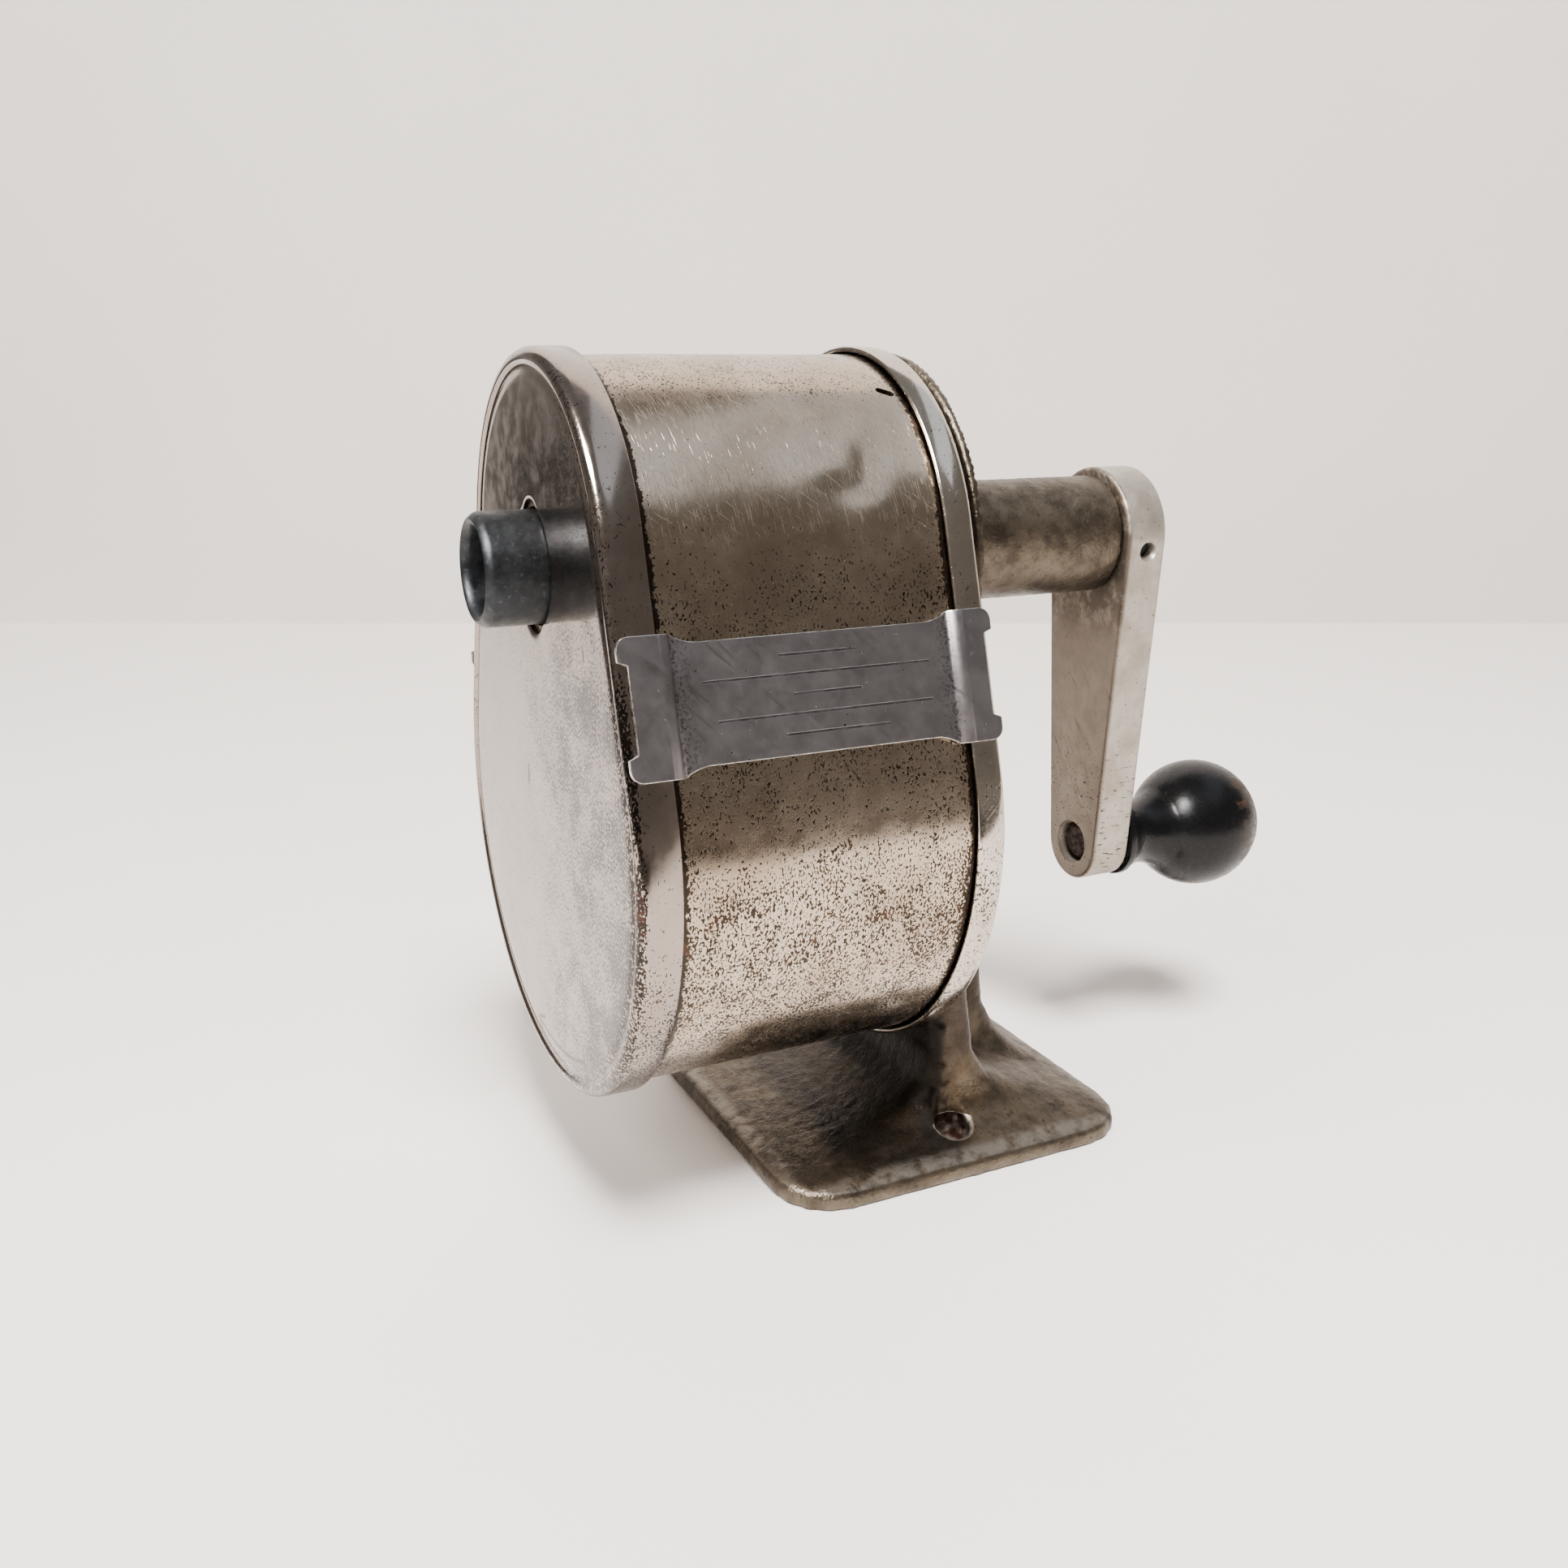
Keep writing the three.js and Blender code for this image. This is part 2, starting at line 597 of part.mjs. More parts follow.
function crankArm() {
  const lean = Math.asin((ARM_HUB - ARM_TIP) / THROW);
  const shape = new THREE.Shape([
    ...arc(0, THROW, ARM_TIP - ARM_BEVEL, lean, Math.PI - lean, 12),
    ...arc(0, 0, ARM_HUB - ARM_BEVEL, Math.PI - lean, 2 * Math.PI + lean, 20),
  ]);
  const bar = new THREE.ExtrudeGeometry(shape, {
    depth: ARM_REAR - ARM_FRONT - 2 * ARM_BEVEL,
    bevelThickness: ARM_BEVEL,
    bevelSize: ARM_BEVEL,
    bevelSegments: 2,
  });
  bar.translate(0, 0, ARM_FRONT + ARM_BEVEL);
  const recess = rod(RIVET_RECESS, ARM_FRONT - 1, ARM_FRONT + RIVET_RECESS_DEPTH, 24);
  recess.translate(0, THROW, 0);
  const rivetHole = rod(RIVET_RADIUS + SHAFT_CLEARANCE, ARM_FRONT - 1, ARM_REAR + 1, 20);
  rivetHole.translate(0, THROW, 0);
  const screwHole = rod(SET_SCREW_HOLE, 0, ARM_HUB + 1, 16);
  screwHole.rotateY(Math.PI / 2);
  screwHole.rotateZ(SET_SCREW_ANGLE);
  screwHole.translate(0, 0, SET_SCREW_PLACE);
  return solid(bar)
    .subtract(solid(rod(SHAFT_RADIUS + SHAFT_CLEARANCE, ARM_FRONT - 1, ARM_REAR + 1, 28)))
    .subtract(solid(recess))
    .subtract(solid(rivetHole))
    .subtract(solid(screwHole));
}

function setScrew() {
  const screw = rod(SET_SCREW_RADIUS, SHAFT_RADIUS + GAP / 2, ARM_HUB - SET_SCREW_SUNK, 16);
  screw.rotateY(Math.PI / 2);
  screw.rotateZ(SET_SCREW_ANGLE);
  screw.translate(0, 0, SET_SCREW_PLACE);
  return screw;
}

function knobRivet() {
  const head = ARM_FRONT + RIVET_RECESS_DEPTH - GAP;
  return turned([
    [0, head - 1.2],
    [RIVET_HEAD - 0.5, head - 1.0],
    [RIVET_HEAD, head - 0.5],
    [RIVET_HEAD, head],
    [RIVET_RADIUS, head],
    [RIVET_RADIUS, KNOB_POCKET + GAP],
    [RIVET_HEAD, KNOB_POCKET + GAP],
    [RIVET_HEAD - 0.3, KNOB_POCKET + 0.9],
    [0, KNOB_POCKET + 1.2],
  ], 20);
}

// A turned ball with a short neck and a foot, bored through, with a pocket for the rivet's far head.
function knob() {
  const profile = [[RIVET_RADIUS + SHAFT_CLEARANCE, KNOB_FRONT]];
  for (const [radius, back] of KNOB_FOOT) {
    profile.push([radius, KNOB_FRONT + back]);
  }
  const start = Math.PI - Math.asin(KNOB_NECK / KNOB_RADIUS);
  const end = Math.acos((KNOB_REAR - KNOB_CENTRE) / KNOB_RADIUS);
  const steps = 10;
  for (let i = 0; i <= steps; i += 1) {
    const angle = start + (end - start) * i / steps;
    profile.push([KNOB_RADIUS * Math.sin(angle), KNOB_CENTRE + KNOB_RADIUS * Math.cos(angle)]);
  }
  profile.push([RIVET_HEAD + GAP, KNOB_REAR]);
  profile.push([RIVET_HEAD + GAP, KNOB_POCKET]);
  profile.push([RIVET_RADIUS + SHAFT_CLEARANCE, KNOB_POCKET]);
  profile.push([RIVET_RADIUS + SHAFT_CLEARANCE, KNOB_FRONT]);
  return turned(profile, 28);
}

// ---------------------------------------------------------------- assembly
const sharpener = new THREE.Group();
sharpener.add(piece('base_frame', baseFrame(), ...CAST_NICKEL));

const axis = new THREE.Group();
axis.position.set(0, 0, AXIS_HEIGHT);
axis.rotation.x = -Math.PI / 2;
sharpener.add(axis);

axis.add(piece('ring_gear', ringGear(), ...BRIGHT_STEEL));
axis.add(piece('spring_ring', springRing(), ...BRIGHT_STEEL));
axis.add(piece('front_cap', frontCap(), ...NICKEL));
axis.add(piece('drum', drum(), ...NICKEL));
axis.add(piece('rear_cap', rearCap(), ...NICKEL));
axis.add(piece('pencil_guide', pencilGuide(), ...BLUED_STEEL));
axis.add(piece('guide_washer', guideWasher(), ...BRIGHT_STEEL));
axis.add(piece('crank_shaft', crankShaft(), ...BRIGHT_STEEL));
axis.add(piece('thrust_washer', thrustWasher(), ...BRIGHT_STEEL));
axis.add(piece('crank_arm', crankArm(), ...PALE_METAL));
axis.add(piece('set_screw', setScrew(), ...BLUED_STEEL));
axis.add(piece('cutter_carrier', cutterCarrier(), ...BRIGHT_STEEL));

const knobPlace = new THREE.Group();
knobPlace.position.y = THROW;
knobPlace.add(piece('knob_rivet', knobRivet(), ...BRIGHT_STEEL));
knobPlace.add(piece('knob', knob(), ...BLACK_WOOD));
axis.add(knobPlace);

for (const [letter, side] of [['a', 1], ['b', -1]]) {
  const spindle = new THREE.Group();
  spindle.position.z = APEX;
  spindle.rotation.y = -side * TILT;
  spindle.add(piece(`cutter_${letter}`, cutter(), ...CUTTER_STEEL));
  spindle.add(piece(`pinion_${letter}`, pinion(), ...BRIGHT_STEEL));
  spindle.add(piece(`cutter_pin_${letter}`, cutterPin(), ...BRIGHT_STEEL));
  axis.add(spindle);
}

for (const [name, side] of [['strap_right', 1], ['strap_left', -1]]) {
  const place = new THREE.Group();
  const outX = side * Math.cos(LEAN);
  const outY = -Math.sin(LEAN);
  const downX = side * Math.sin(LEAN);
  const downY = Math.cos(LEAN);
  place.position.x = outX * TOP_RADIUS + downX * STRAP_MIDDLE;
  place.position.y = outY * TOP_RADIUS + downY * STRAP_MIDDLE + TOP_DROP;
  place.rotation.z = Math.atan2(outY, outX);
  place.add(piece(name, strap(), ...STRAP_STEEL));
  axis.add(place);
}

export default sharpener;
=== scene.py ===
"""Looks of the crank pencil sharpener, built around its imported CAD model.

Lengths in this script are millimetres in the row frame (+Z up, +Y to the crank) until a mesh or a
place is handed to Blender, which holds metres.
"""

import json
import math

import bmesh
import bpy
import numpy as np
from mathutils import Matrix, Vector, noise


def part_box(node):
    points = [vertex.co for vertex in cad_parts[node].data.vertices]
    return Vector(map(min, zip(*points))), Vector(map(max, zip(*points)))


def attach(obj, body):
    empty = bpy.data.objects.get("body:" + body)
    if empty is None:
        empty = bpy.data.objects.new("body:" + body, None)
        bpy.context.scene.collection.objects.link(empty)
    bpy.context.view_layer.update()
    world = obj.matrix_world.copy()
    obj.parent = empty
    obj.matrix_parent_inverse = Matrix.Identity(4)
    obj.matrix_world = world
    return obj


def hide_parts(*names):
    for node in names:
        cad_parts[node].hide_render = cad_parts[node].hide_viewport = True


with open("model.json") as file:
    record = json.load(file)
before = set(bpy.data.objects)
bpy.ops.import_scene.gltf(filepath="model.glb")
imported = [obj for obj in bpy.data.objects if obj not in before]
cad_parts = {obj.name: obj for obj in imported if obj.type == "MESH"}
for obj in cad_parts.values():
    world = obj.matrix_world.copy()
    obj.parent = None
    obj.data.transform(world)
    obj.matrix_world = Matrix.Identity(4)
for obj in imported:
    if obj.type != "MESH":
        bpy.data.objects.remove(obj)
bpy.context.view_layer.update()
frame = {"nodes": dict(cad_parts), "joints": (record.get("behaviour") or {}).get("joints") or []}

MM = 0.001
NODES = frame["nodes"]
JOINTS = {joint["name"]: joint for joint in frame["joints"]}


def box(node):
    """Lowest and highest corner of a CAD node, in millimetres."""
    low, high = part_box(node)
    return Vector(low) / MM, Vector(high) / MM


# ---------------- measures from the frame
AXIS = JOINTS["crank_turn"]["pos_m"][2] / MM
KNOB_AXIS = JOINTS["knob_spin"]["pos_m"][2] / MM
THROW = AXIS - KNOB_AXIS
CAP_LOW, CAP_HIGH = box("front_cap")
REAR_LOW, REAR_HIGH = box("rear_cap")
DRUM_LOW, DRUM_HIGH = box("drum")
GUIDE_LOW, GUIDE_HIGH = box("pencil_guide")
STRAP_LOW, STRAP_HIGH = box("strap_right")
ARM_LOW, ARM_HIGH = box("crank_arm")
SHAFT_LOW, SHAFT_HIGH = box("crank_shaft")
KNOB_LOW, KNOB_HIGH = box("knob")

# the case outline is two arcs joined by straight flanks
LOW_RADIUS = CAP_HIGH.x
LOW_CENTRE = CAP_LOW.z + LOW_RADIUS
TOP_RADIUS = 24.6
TOP_CENTRE = CAP_HIGH.z - TOP_RADIUS
LEAN = math.asin((LOW_RADIUS - TOP_RADIUS) / (TOP_CENTRE - LOW_CENTRE))
SHEET = 0.6
DRUM_STEP = CAP_HIGH.x - DRUM_HIGH.x
REAR_HOLE = 20.0

GUIDE_RADIUS = 6.35
GUIDE_BORE = 4.8
GUIDE_HOLE = 6.8
# radius of the hole's two round notches, and how far their middles are from the axis
GUIDE_NOTCH = (3.6, 3.95)

STRAP_MIDDLE = 17.2
STRAP_END = 7.15
STRAP_WAIST = 6.2
STRAP_THICK = 0.55
STRAP_CORNER = 1.3
# the notch in each end: its wide and narrow half width, and its depth
STRAP_NOTCH = (4.75, 4.35, 1.0)

SHAFT_RADIUS = 3.2
SPIGOT_RADIUS = 1.9
ARM_HUB = 8.6
ARM_TIP = 5.2
KNOB_CENTRE = 51.8
KNOB_BORE = 1.85

TUBE_RADIUS = 7.5
HEAD_RADIUS = 22.9
SCREW_HOLE_X = 18.3


# ---------------- mesh helpers
def mesh_object(name, points, faces, crease=40):
    """A mesh from points in millimetres; edges sharper than crease degrees stay sharp."""
    mesh = bpy.data.meshes.new(name)
    mesh.from_pydata([Vector(p) * MM for p in points], [], faces)
    made = bpy.data.objects.new(name, mesh)
    bpy.context.scene.collection.objects.link(made)
    shade(made, crease)
    return made


def shade(made, crease=40):
    """Turns the faces outwards and shades them smooth up to the crease angle."""
    work = bmesh.new()
    work.from_mesh(made.data)
    bmesh.ops.recalc_face_normals(work, faces=work.faces)
    for face in work.faces:
        face.smooth = len(face.verts) < 9
    for edge in work.edges:
        edge.smooth = len(edge.link_faces) == 2 and edge.calc_face_angle() < math.radians(crease)
    work.to_mesh(made.data)
    work.free()


def settle(made, crease=40):
    """Applies an object's modifiers to its mesh."""
    graph = bpy.context.evaluated_depsgraph_get()
    graph.update()
    finished = bpy.data.meshes.new_from_object(made.evaluated_get(graph))
    made.modifiers.clear()
    made.data = finished
    shade(made, crease)


def combine(made, operation, tools, crease=40):
    """Cuts an object with the tools' volumes, or joins them to it, and removes the tools."""
    for tool in tools:
        step = made.modifiers.new("combine", "BOOLEAN")
        step.operation = operation
        step.solver = "EXACT"
        step.object = tool
    settle(made, crease)
    for tool in tools:
        bpy.data.objects.remove(tool)


def bevel(made, width, segments, angle, material=-1):
    """Rounds the edges that are sharper than angle degrees; material is the slot of the new faces."""
    step = made.modifiers.new("bevel", "BEVEL")
    step.width = width * MM
    step.segments = segments
    step.limit_method = "ANGLE"
    step.angle_limit = math.radians(angle)
    step.material = material
    step.miter_outer = "MITER_ARC"


def skin(rings, loop=False, ends=False):
    """Points and faces of the surface through rings of equal point counts."""
    count = len(rings[0])
    points = [p for ring in rings for p in ring]
    faces = []
    for i in range(len(rings) if loop else len(rings) - 1):
        a = i * count
        b = (i + 1) % len(rings) * count
        for j in range(count):
            k = (j + 1) % count
            faces.append((a + j, a + k, b + k, b + j))
    if ends:
        faces.append(tuple(reversed(range(count))))
        faces.append(tuple(range(len(points) - count, len(points))))
    return points, faces


def turned(name, profile, z, crease=40, segments=96, closed=False):
    """A solid of revolution about the line along Y at height z, from (radius, y) pairs."""
    rings = []
    for radius, y in profile:
        turn = [2 * math.pi * i / segments for i in range(segments)]
        rings.append([(radius * math.cos(t), y, z + radius * math.sin(t)) for t in turn])
    points, faces = skin(rings, loop=closed, ends=not closed)
    return mesh_object(name, points, faces, crease)


def rounded(corners, radius, steps=5):
    """A profile with its inner corners rounded; the first and last point stay."""
    made = [corners[0]]
    for before, here, after in zip(corners, corners[1:], corners[2:]):
        a, b, c = Vector(before), Vector(here), Vector(after)
        reach = min(radius, (a - b).length * 0.49, (c - b).length * 0.49)
        start = b + (a - b).normalized() * reach
        end = b + (c - b).normalized() * reach
        for i in range(steps + 1):
            t = i / steps
            made.append(tuple(start * (1 - t) ** 2 + b * 2 * t * (1 - t) + end * t ** 2))
    made.append(corners[-1])
    return made


def prism(name, outline, place, depth):
    """A flat outline drawn through place(a, b, height), from height 0 to depth."""
    low = [place(a, b, depth[0]) for a, b in outline]
    high = [place(a, b, depth[1]) for a, b in outline]
    points, faces = skin([low, high], ends=True)
    return mesh_object(name, points, faces)


def arc(x, y, radius, start, end, steps):
    angles = [start + (end - start) * i / steps for i in range(steps + 1)]
    return [(x + radius * math.cos(t), y + radius * math.sin(t)) for t in angles]


def finish_piece(made, body, materials, stands_for):
    """Gives a piece its materials and hangs it on its CAD body in place of a node."""
    if not made.data.materials:
        for material in materials:
            made.data.materials.append(material)
    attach(made, body)
    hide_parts(stands_for)
    return made


# ---------------- materials
def srgb(red, green, blue):
    """A colour given as it looks, from 0 to 255, as linear light."""
    shares = [c / 255 for c in (red, green, blue)]
    return [s / 12.92 if s < 0.04045 else ((s + 0.055) / 1.055) ** 2.4 for s in shares]


class Paint:
    """A material's node tree. Its lengths are millimetres in the row frame at rest."""

    def __init__(self, name):
        self.material = bpy.data.materials.new(name)
        self.material.use_nodes = True
        self.tree = self.material.node_tree
        self.shader = self.tree.nodes["Principled BSDF"]
        place = self.node("ShaderNodeTexCoord").outputs["Object"]
        scaled = self.node("ShaderNodeVectorMath", {0: place}, operation="SCALE")
        scaled.inputs["Scale"].default_value = 1 / MM
        self.place = scaled.outputs[0]
        split = self.node("ShaderNodeSeparateXYZ", {0: self.place})
        self.x, self.y, self.z = split.outputs

    def node(self, kind, inputs=None, **settings):
        """A new node with its inputs set or linked."""
        made = self.tree.nodes.new(kind)
        for key, value in settings.items():
            setattr(made, key, value)
        for key, value in (inputs or {}).items():
            self.put(made.inputs[key], value)
        return made

    def put(self, socket, value):
        if isinstance(value, bpy.types.NodeSocket):
            self.tree.links.new(value, socket)
        elif isinstance(value, (list, tuple)) and len(value) == 3 and socket.type == "RGBA":
            socket.default_value = (*value, 1)
        else:
            socket.default_value = value

    def math(self, operation, a, b=0.5):
        made = self.node("ShaderNodeMath", {0: a, 1: b}, operation=operation)
        return made.outputs[0]

    def plus(self, a, b):
        return self.math("ADD", a, b)

    def minus(self, a, b):
        return self.math("SUBTRACT", a, b)

    def times(self, a, b):
        return self.math("MULTIPLY", a, b)

    def highest(self, a, b):
        return self.math("MAXIMUM", a, b)

    def lowest(self, a, b):
        return self.math("MINIMUM", a, b)

    def absolute(self, a):
        return self.math("ABSOLUTE", a)

    def root(self, a):
        return self.math("POWER", a, 0.5)

    def angle(self, rise, run):
        return self.math("ARCTAN2", rise, run)

    def ramp(self, value, low, high, start=0.0, end=1.0):
        """start below low, end above high, and a smooth step between them."""
        inputs = {"Value": value, "From Min": low, "From Max": high, "To Min": start, "To Max": end}
        if low > high:
            inputs.update({"From Min": high, "From Max": low, "To Min": end, "To Max": start})
        made = self.node("ShaderNodeMapRange", inputs, interpolation_type="SMOOTHSTEP")
        return made.outputs[0]

    def band(self, value, low, high, soft):
        """1 between low and high, fading over soft on both sides."""
        rise = self.ramp(value, low - soft, low)
        fall = self.ramp(value, high, high + soft, 1.0, 0.0)
        return self.times(rise, fall)

    def mix(self, share, a, b):
        """Colour a where share is 0, and colour b where it is 1."""
        made = self.node("ShaderNodeMix", {0: share, 6: a, 7: b}, data_type="RGBA")
        return made.outputs[2]

    def noise(self, size, detail=2.0, rough=0.5, stretch=(1, 1, 1)):
        """Noise with features of about size; stretch makes them longer along X, Y or Z."""
        place = self.place
        if stretch != (1, 1, 1):
            shrunk = self.node("ShaderNodeMapping", {0: place})
            shrunk.inputs["Scale"].default_value = [1 / s for s in stretch]
            place = shrunk.outputs[0]
        made = self.node("ShaderNodeTexNoise", {"Vector": place})
        made.inputs["Scale"].default_value = 1 / size
        made.inputs["Detail"].default_value = detail
        made.inputs["Roughness"].default_value = rough
        return made.outputs["Fac"]

    def bumps(self, *pairs):
        """Layers of (height, depth in millimetres)."""
        normal = None
        for height, depth in pairs:
            made = self.node("ShaderNodeBump", {"Height": height})
            made.inputs["Distance"].default_value = depth * MM
            made.inputs["Strength"].default_value = 1.0
            if normal is not None:
                self.tree.links.new(normal, made.inputs["Normal"])
            normal = made.outputs[0]
        self.tree.links.new(normal, self.shader.inputs["Normal"])

    def finish(self, colour, metallic, roughness):
        """Joins up the shader's inputs and returns the material."""
        self.put(self.shader.inputs["Base Color"], colour)
        self.put(self.shader.inputs["Metallic"], metallic)
        self.put(self.shader.inputs["Roughness"], roughness)
        return self.material


RUST = srgb(58, 36, 24)
GRIME = srgb(27, 22, 18)
SCRATCH_SHRINK = 0.06


def scratches(paint, across, along, angle, size, low, high):
    """Thin lines on a surface with two coordinates, turned by angle: 0 off them, 1 on them."""
    flat = paint.node("ShaderNodeCombineXYZ", {0: across, 1: along}).outputs[0]
    turned_place = paint.node("ShaderNodeMapping", {0: flat})
    turned_place.inputs["Rotation"].default_value = (0, 0, angle)
    shrunk = paint.node("ShaderNodeMapping", {0: turned_place.outputs[0]})
    shrunk.inputs["Scale"].default_value = (SCRATCH_SHRINK, 1, 1)
    lines = paint.node("ShaderNodeTexNoise", {"Vector": shrunk.outputs[0]})
    lines.inputs["Scale"].default_value = 1 / size
    lines.inputs["Detail"].default_value = 1.0
    return paint.ramp(lines.outputs["Fac"], low, high)


def spot(paint, x, z, wide, long):
    """A ragged mark on the front face: 1 inside an ellipse, 0 outside."""
    across = paint.times(paint.minus(paint.x, x), 1 / wide)
    down = paint.times(paint.minus(paint.z, z), 1 / long)
    square = paint.plus(paint.times(across, across), paint.times(down, down))
    ragged = paint.plus(square, paint.times(paint.noise(0.3, 2, 0.6), 2.0))
    return paint.ramp(ragged, 1.9, 1.3)


def nickel(name, density, marks, rough, relief, light, brown):
    """Worn nickel plate with brown stains, pitting and marks, some of the marks painted shade.

    density(paint) is 0 where the plate is whole and 1 where it is badly pitted. marks(paint) gives
    scratches, dark spots and lines, on the drum partly painted shade along the caps, and extra roughness.
    relief scales the bumps.
    """
    paint = Paint(name)
    stain = paint.ramp(paint.noise(11, 3, 0.6), 0.35, 0.7)
    plate = paint.mix(stain, srgb(*light), srgb(*brown))
    fine = paint.noise(0.24, 2, 0.5, (1, 1, 1.5))
    clumps = paint.noise(1.8, 3, 0.6)
    specks = paint.plus(paint.times(fine, 0.8), paint.times(clumps, 0.2))
    level = paint.minus(0.665, paint.times(density(paint), 0.175))
    pits_marks_and_shade = paint.ramp(paint.minus(specks, level), 0.0, 0.03)
    lines, dark, rougher = marks(paint)
    # dark brings scars, engraving and, on the drum, the crust and painted shade along the caps into the pit
    # mask
    pits_marks_and_shade = paint.highest(pits_marks_and_shade, dark)
    tint = paint.mix(paint.ramp(clumps, 0.5, 0.75), GRIME, RUST)
    colour = paint.mix(paint.times(pits_marks_and_shade, 0.95), plate, tint)
    haze = paint.ramp(paint.noise(2.6, 4, 0.65), 0.3, 0.75, rough - 0.04, rough + 0.06)
    roughness = paint.plus(paint.plus(haze, rougher), paint.times(pits_marks_and_shade, 0.08))
    roughness = paint.plus(roughness, paint.times(lines, 0.12))
    grain = paint.noise(0.8, 3, 0.6)
    paint.bumps((grain, 0.007 * relief), (paint.minus(1, pits_marks_and_shade), 0.007 * relief), (lines, 0.008))
    return paint.finish(colour, 1.0, roughness)


def face_density(paint):
    """The front face is pitted most near its right rim and below the guide, the flange low down."""
    right = paint.ramp(paint.x, -16, 19)
    lower = paint.ramp(paint.z, 76, 60)
    patchy = paint.ramp(paint.noise(8, 3, 0.6), 0.3, 0.7, 0.6, 1.15)
    spread = paint.plus(paint.times(right, 0.95), 0.38)
    face = paint.times(paint.times(spread, paint.plus(paint.times(lower, 0.6), 0.45)), patchy)
    flange = paint.times(paint.plus(paint.times(paint.ramp(paint.z, 42, 32), 0.8), 0.2), patchy)
    behind = paint.ramp(paint.y, CAP_LOW.y + 0.5, CAP_LOW.y + 1.1)
    before = paint.minus(1, behind)
    return paint.plus(paint.times(face, before), paint.times(flange, behind))


# (x, z, half width, half length) of the scars on the front face
SCARS = [(-5.6, 49.7, 0.5, 1.7), (17.1, 68.2, 0.3, 1.0), (17.6, 66.4, 0.25, 0.5), (17.5, 63.3, 0.35, 0.6)]
# the engraved arrow's arc about the case's lower centre, the angle of its tip, and its lengths
ARROW_RADIUS = 28.4
ARROW_TIP = -1.80
ARROW_LENGTH = 19.0
ARROW_HEAD = 2.8


def face_marks(paint):
    """A plain curved arrow engraved low on the face, and a few scars."""
    height = paint.minus(paint.z, LOW_CENTRE)
    reach = paint.plus(paint.times(paint.x, paint.x), paint.times(height, height))
    off = paint.absolute(paint.minus(paint.root(reach), ARROW_RADIUS))
    turn = paint.angle(height, paint.x)
    back = paint.times(paint.minus(turn, ARROW_TIP), ARROW_RADIUS)
    front = paint.ramp(paint.y, CAP_LOW.y + 1.0, CAP_LOW.y + 0.5)
    shaft = paint.times(paint.ramp(off, 0.28, 0.18), paint.band(back, 0, ARROW_LENGTH, 0.1))
    wing = paint.absolute(paint.minus(off, paint.times(back, 0.55)))
    head = paint.times(paint.ramp(wing, 0.3, 0.2), paint.band(back, 0, ARROW_HEAD, 0.1))
    bar = paint.band(back, ARROW_LENGTH - 0.4, ARROW_LENGTH, 0.1)
    tail = paint.times(paint.ramp(off, 1.5, 1.4), bar)
    dark = paint.times(paint.highest(paint.highest(shaft, head), tail), 0.9)
    for scar in SCARS:
        dark = paint.highest(dark, spot(paint, *scar))
    rougher = paint.ramp(paint.y, CAP_LOW.y + 0.5, CAP_LOW.y + 1.4, 0.0, 0.07)
    return 0.0, paint.times(dark, front), rougher


def drum_density(paint):
    """The drum is freckled most over its lower half and along both caps."""
    lower = paint.ramp(paint.z, 60, 42)
    top = paint.times(paint.ramp(paint.z, 91, 95), 0.66)
    middle = paint.times(paint.ramp(paint.z, 86, 72), 0.66)
    patchy = paint.ramp(paint.noise(7, 3, 0.6), 0.3, 0.7, 0.7, 1.05)
    front = paint.ramp(paint.y, CAP_HIGH.y + 1.8, CAP_HIGH.y, 0.0, 0.45)
    rear = paint.ramp(paint.y, REAR_LOW.y - 1.8, REAR_LOW.y, 0.0, 0.45)
    base = paint.highest(paint.highest(lower, top), middle)
    return paint.plus(paint.times(base, patchy), paint.highest(front, rear))


def drum_marks(paint):
    """Fine scratches, most of them on the upper shoulder, and a ragged dark line along both caps that is
    partly dirty crust and partly painted shade where the drum steps in under the flanges.
    """
    height = paint.minus(paint.z, TOP_CENTRE)
    around = paint.times(paint.angle(paint.x, height), TOP_RADIUS)
    upper = paint.band(paint.z, 82, 91, 4)
    fine = scratches(paint, paint.y, around, -1.45, 0.15, 0.56, 0.66)
    long = scratches(paint, paint.y, around, -0.7, 0.25, 0.66, 0.71)
    ragged = paint.times(paint.noise(0.9, 4, 0.7), 1.8)
    from_front = paint.minus(paint.y, CAP_HIGH.y)
    from_rear = paint.minus(REAR_LOW.y + 0.3, paint.y)
    near = paint.lowest(from_front, from_rear)
    # a dark line beside each flange: partly dirty crust, partly painted shade in the step where the drum
    # meets the cap
    crust_and_shade_line = paint.ramp(paint.minus(near, ragged), 0.0, -0.2)
    return paint.times(paint.highest(fine, long), paint.plus(0.1, upper)), crust_and_shade_line, 0.0


def rear_density(paint):
    """The rear cap is freckled most low down."""
    lower = paint.ramp(paint.z, 56, 40, 0.2, 0.75)
    patchy = paint.ramp(paint.noise(7, 3, 0.6), 0.3, 0.7, 0.5, 1.1)
    return paint.times(lower, patchy)


def rear_marks(paint):
    """A few oblique scratches."""
    lines = scratches(paint, paint.y, paint.z, -0.8, 0.25, 0.65, 0.7)
    return paint.times(lines, 0.3), 0.0, 0.0


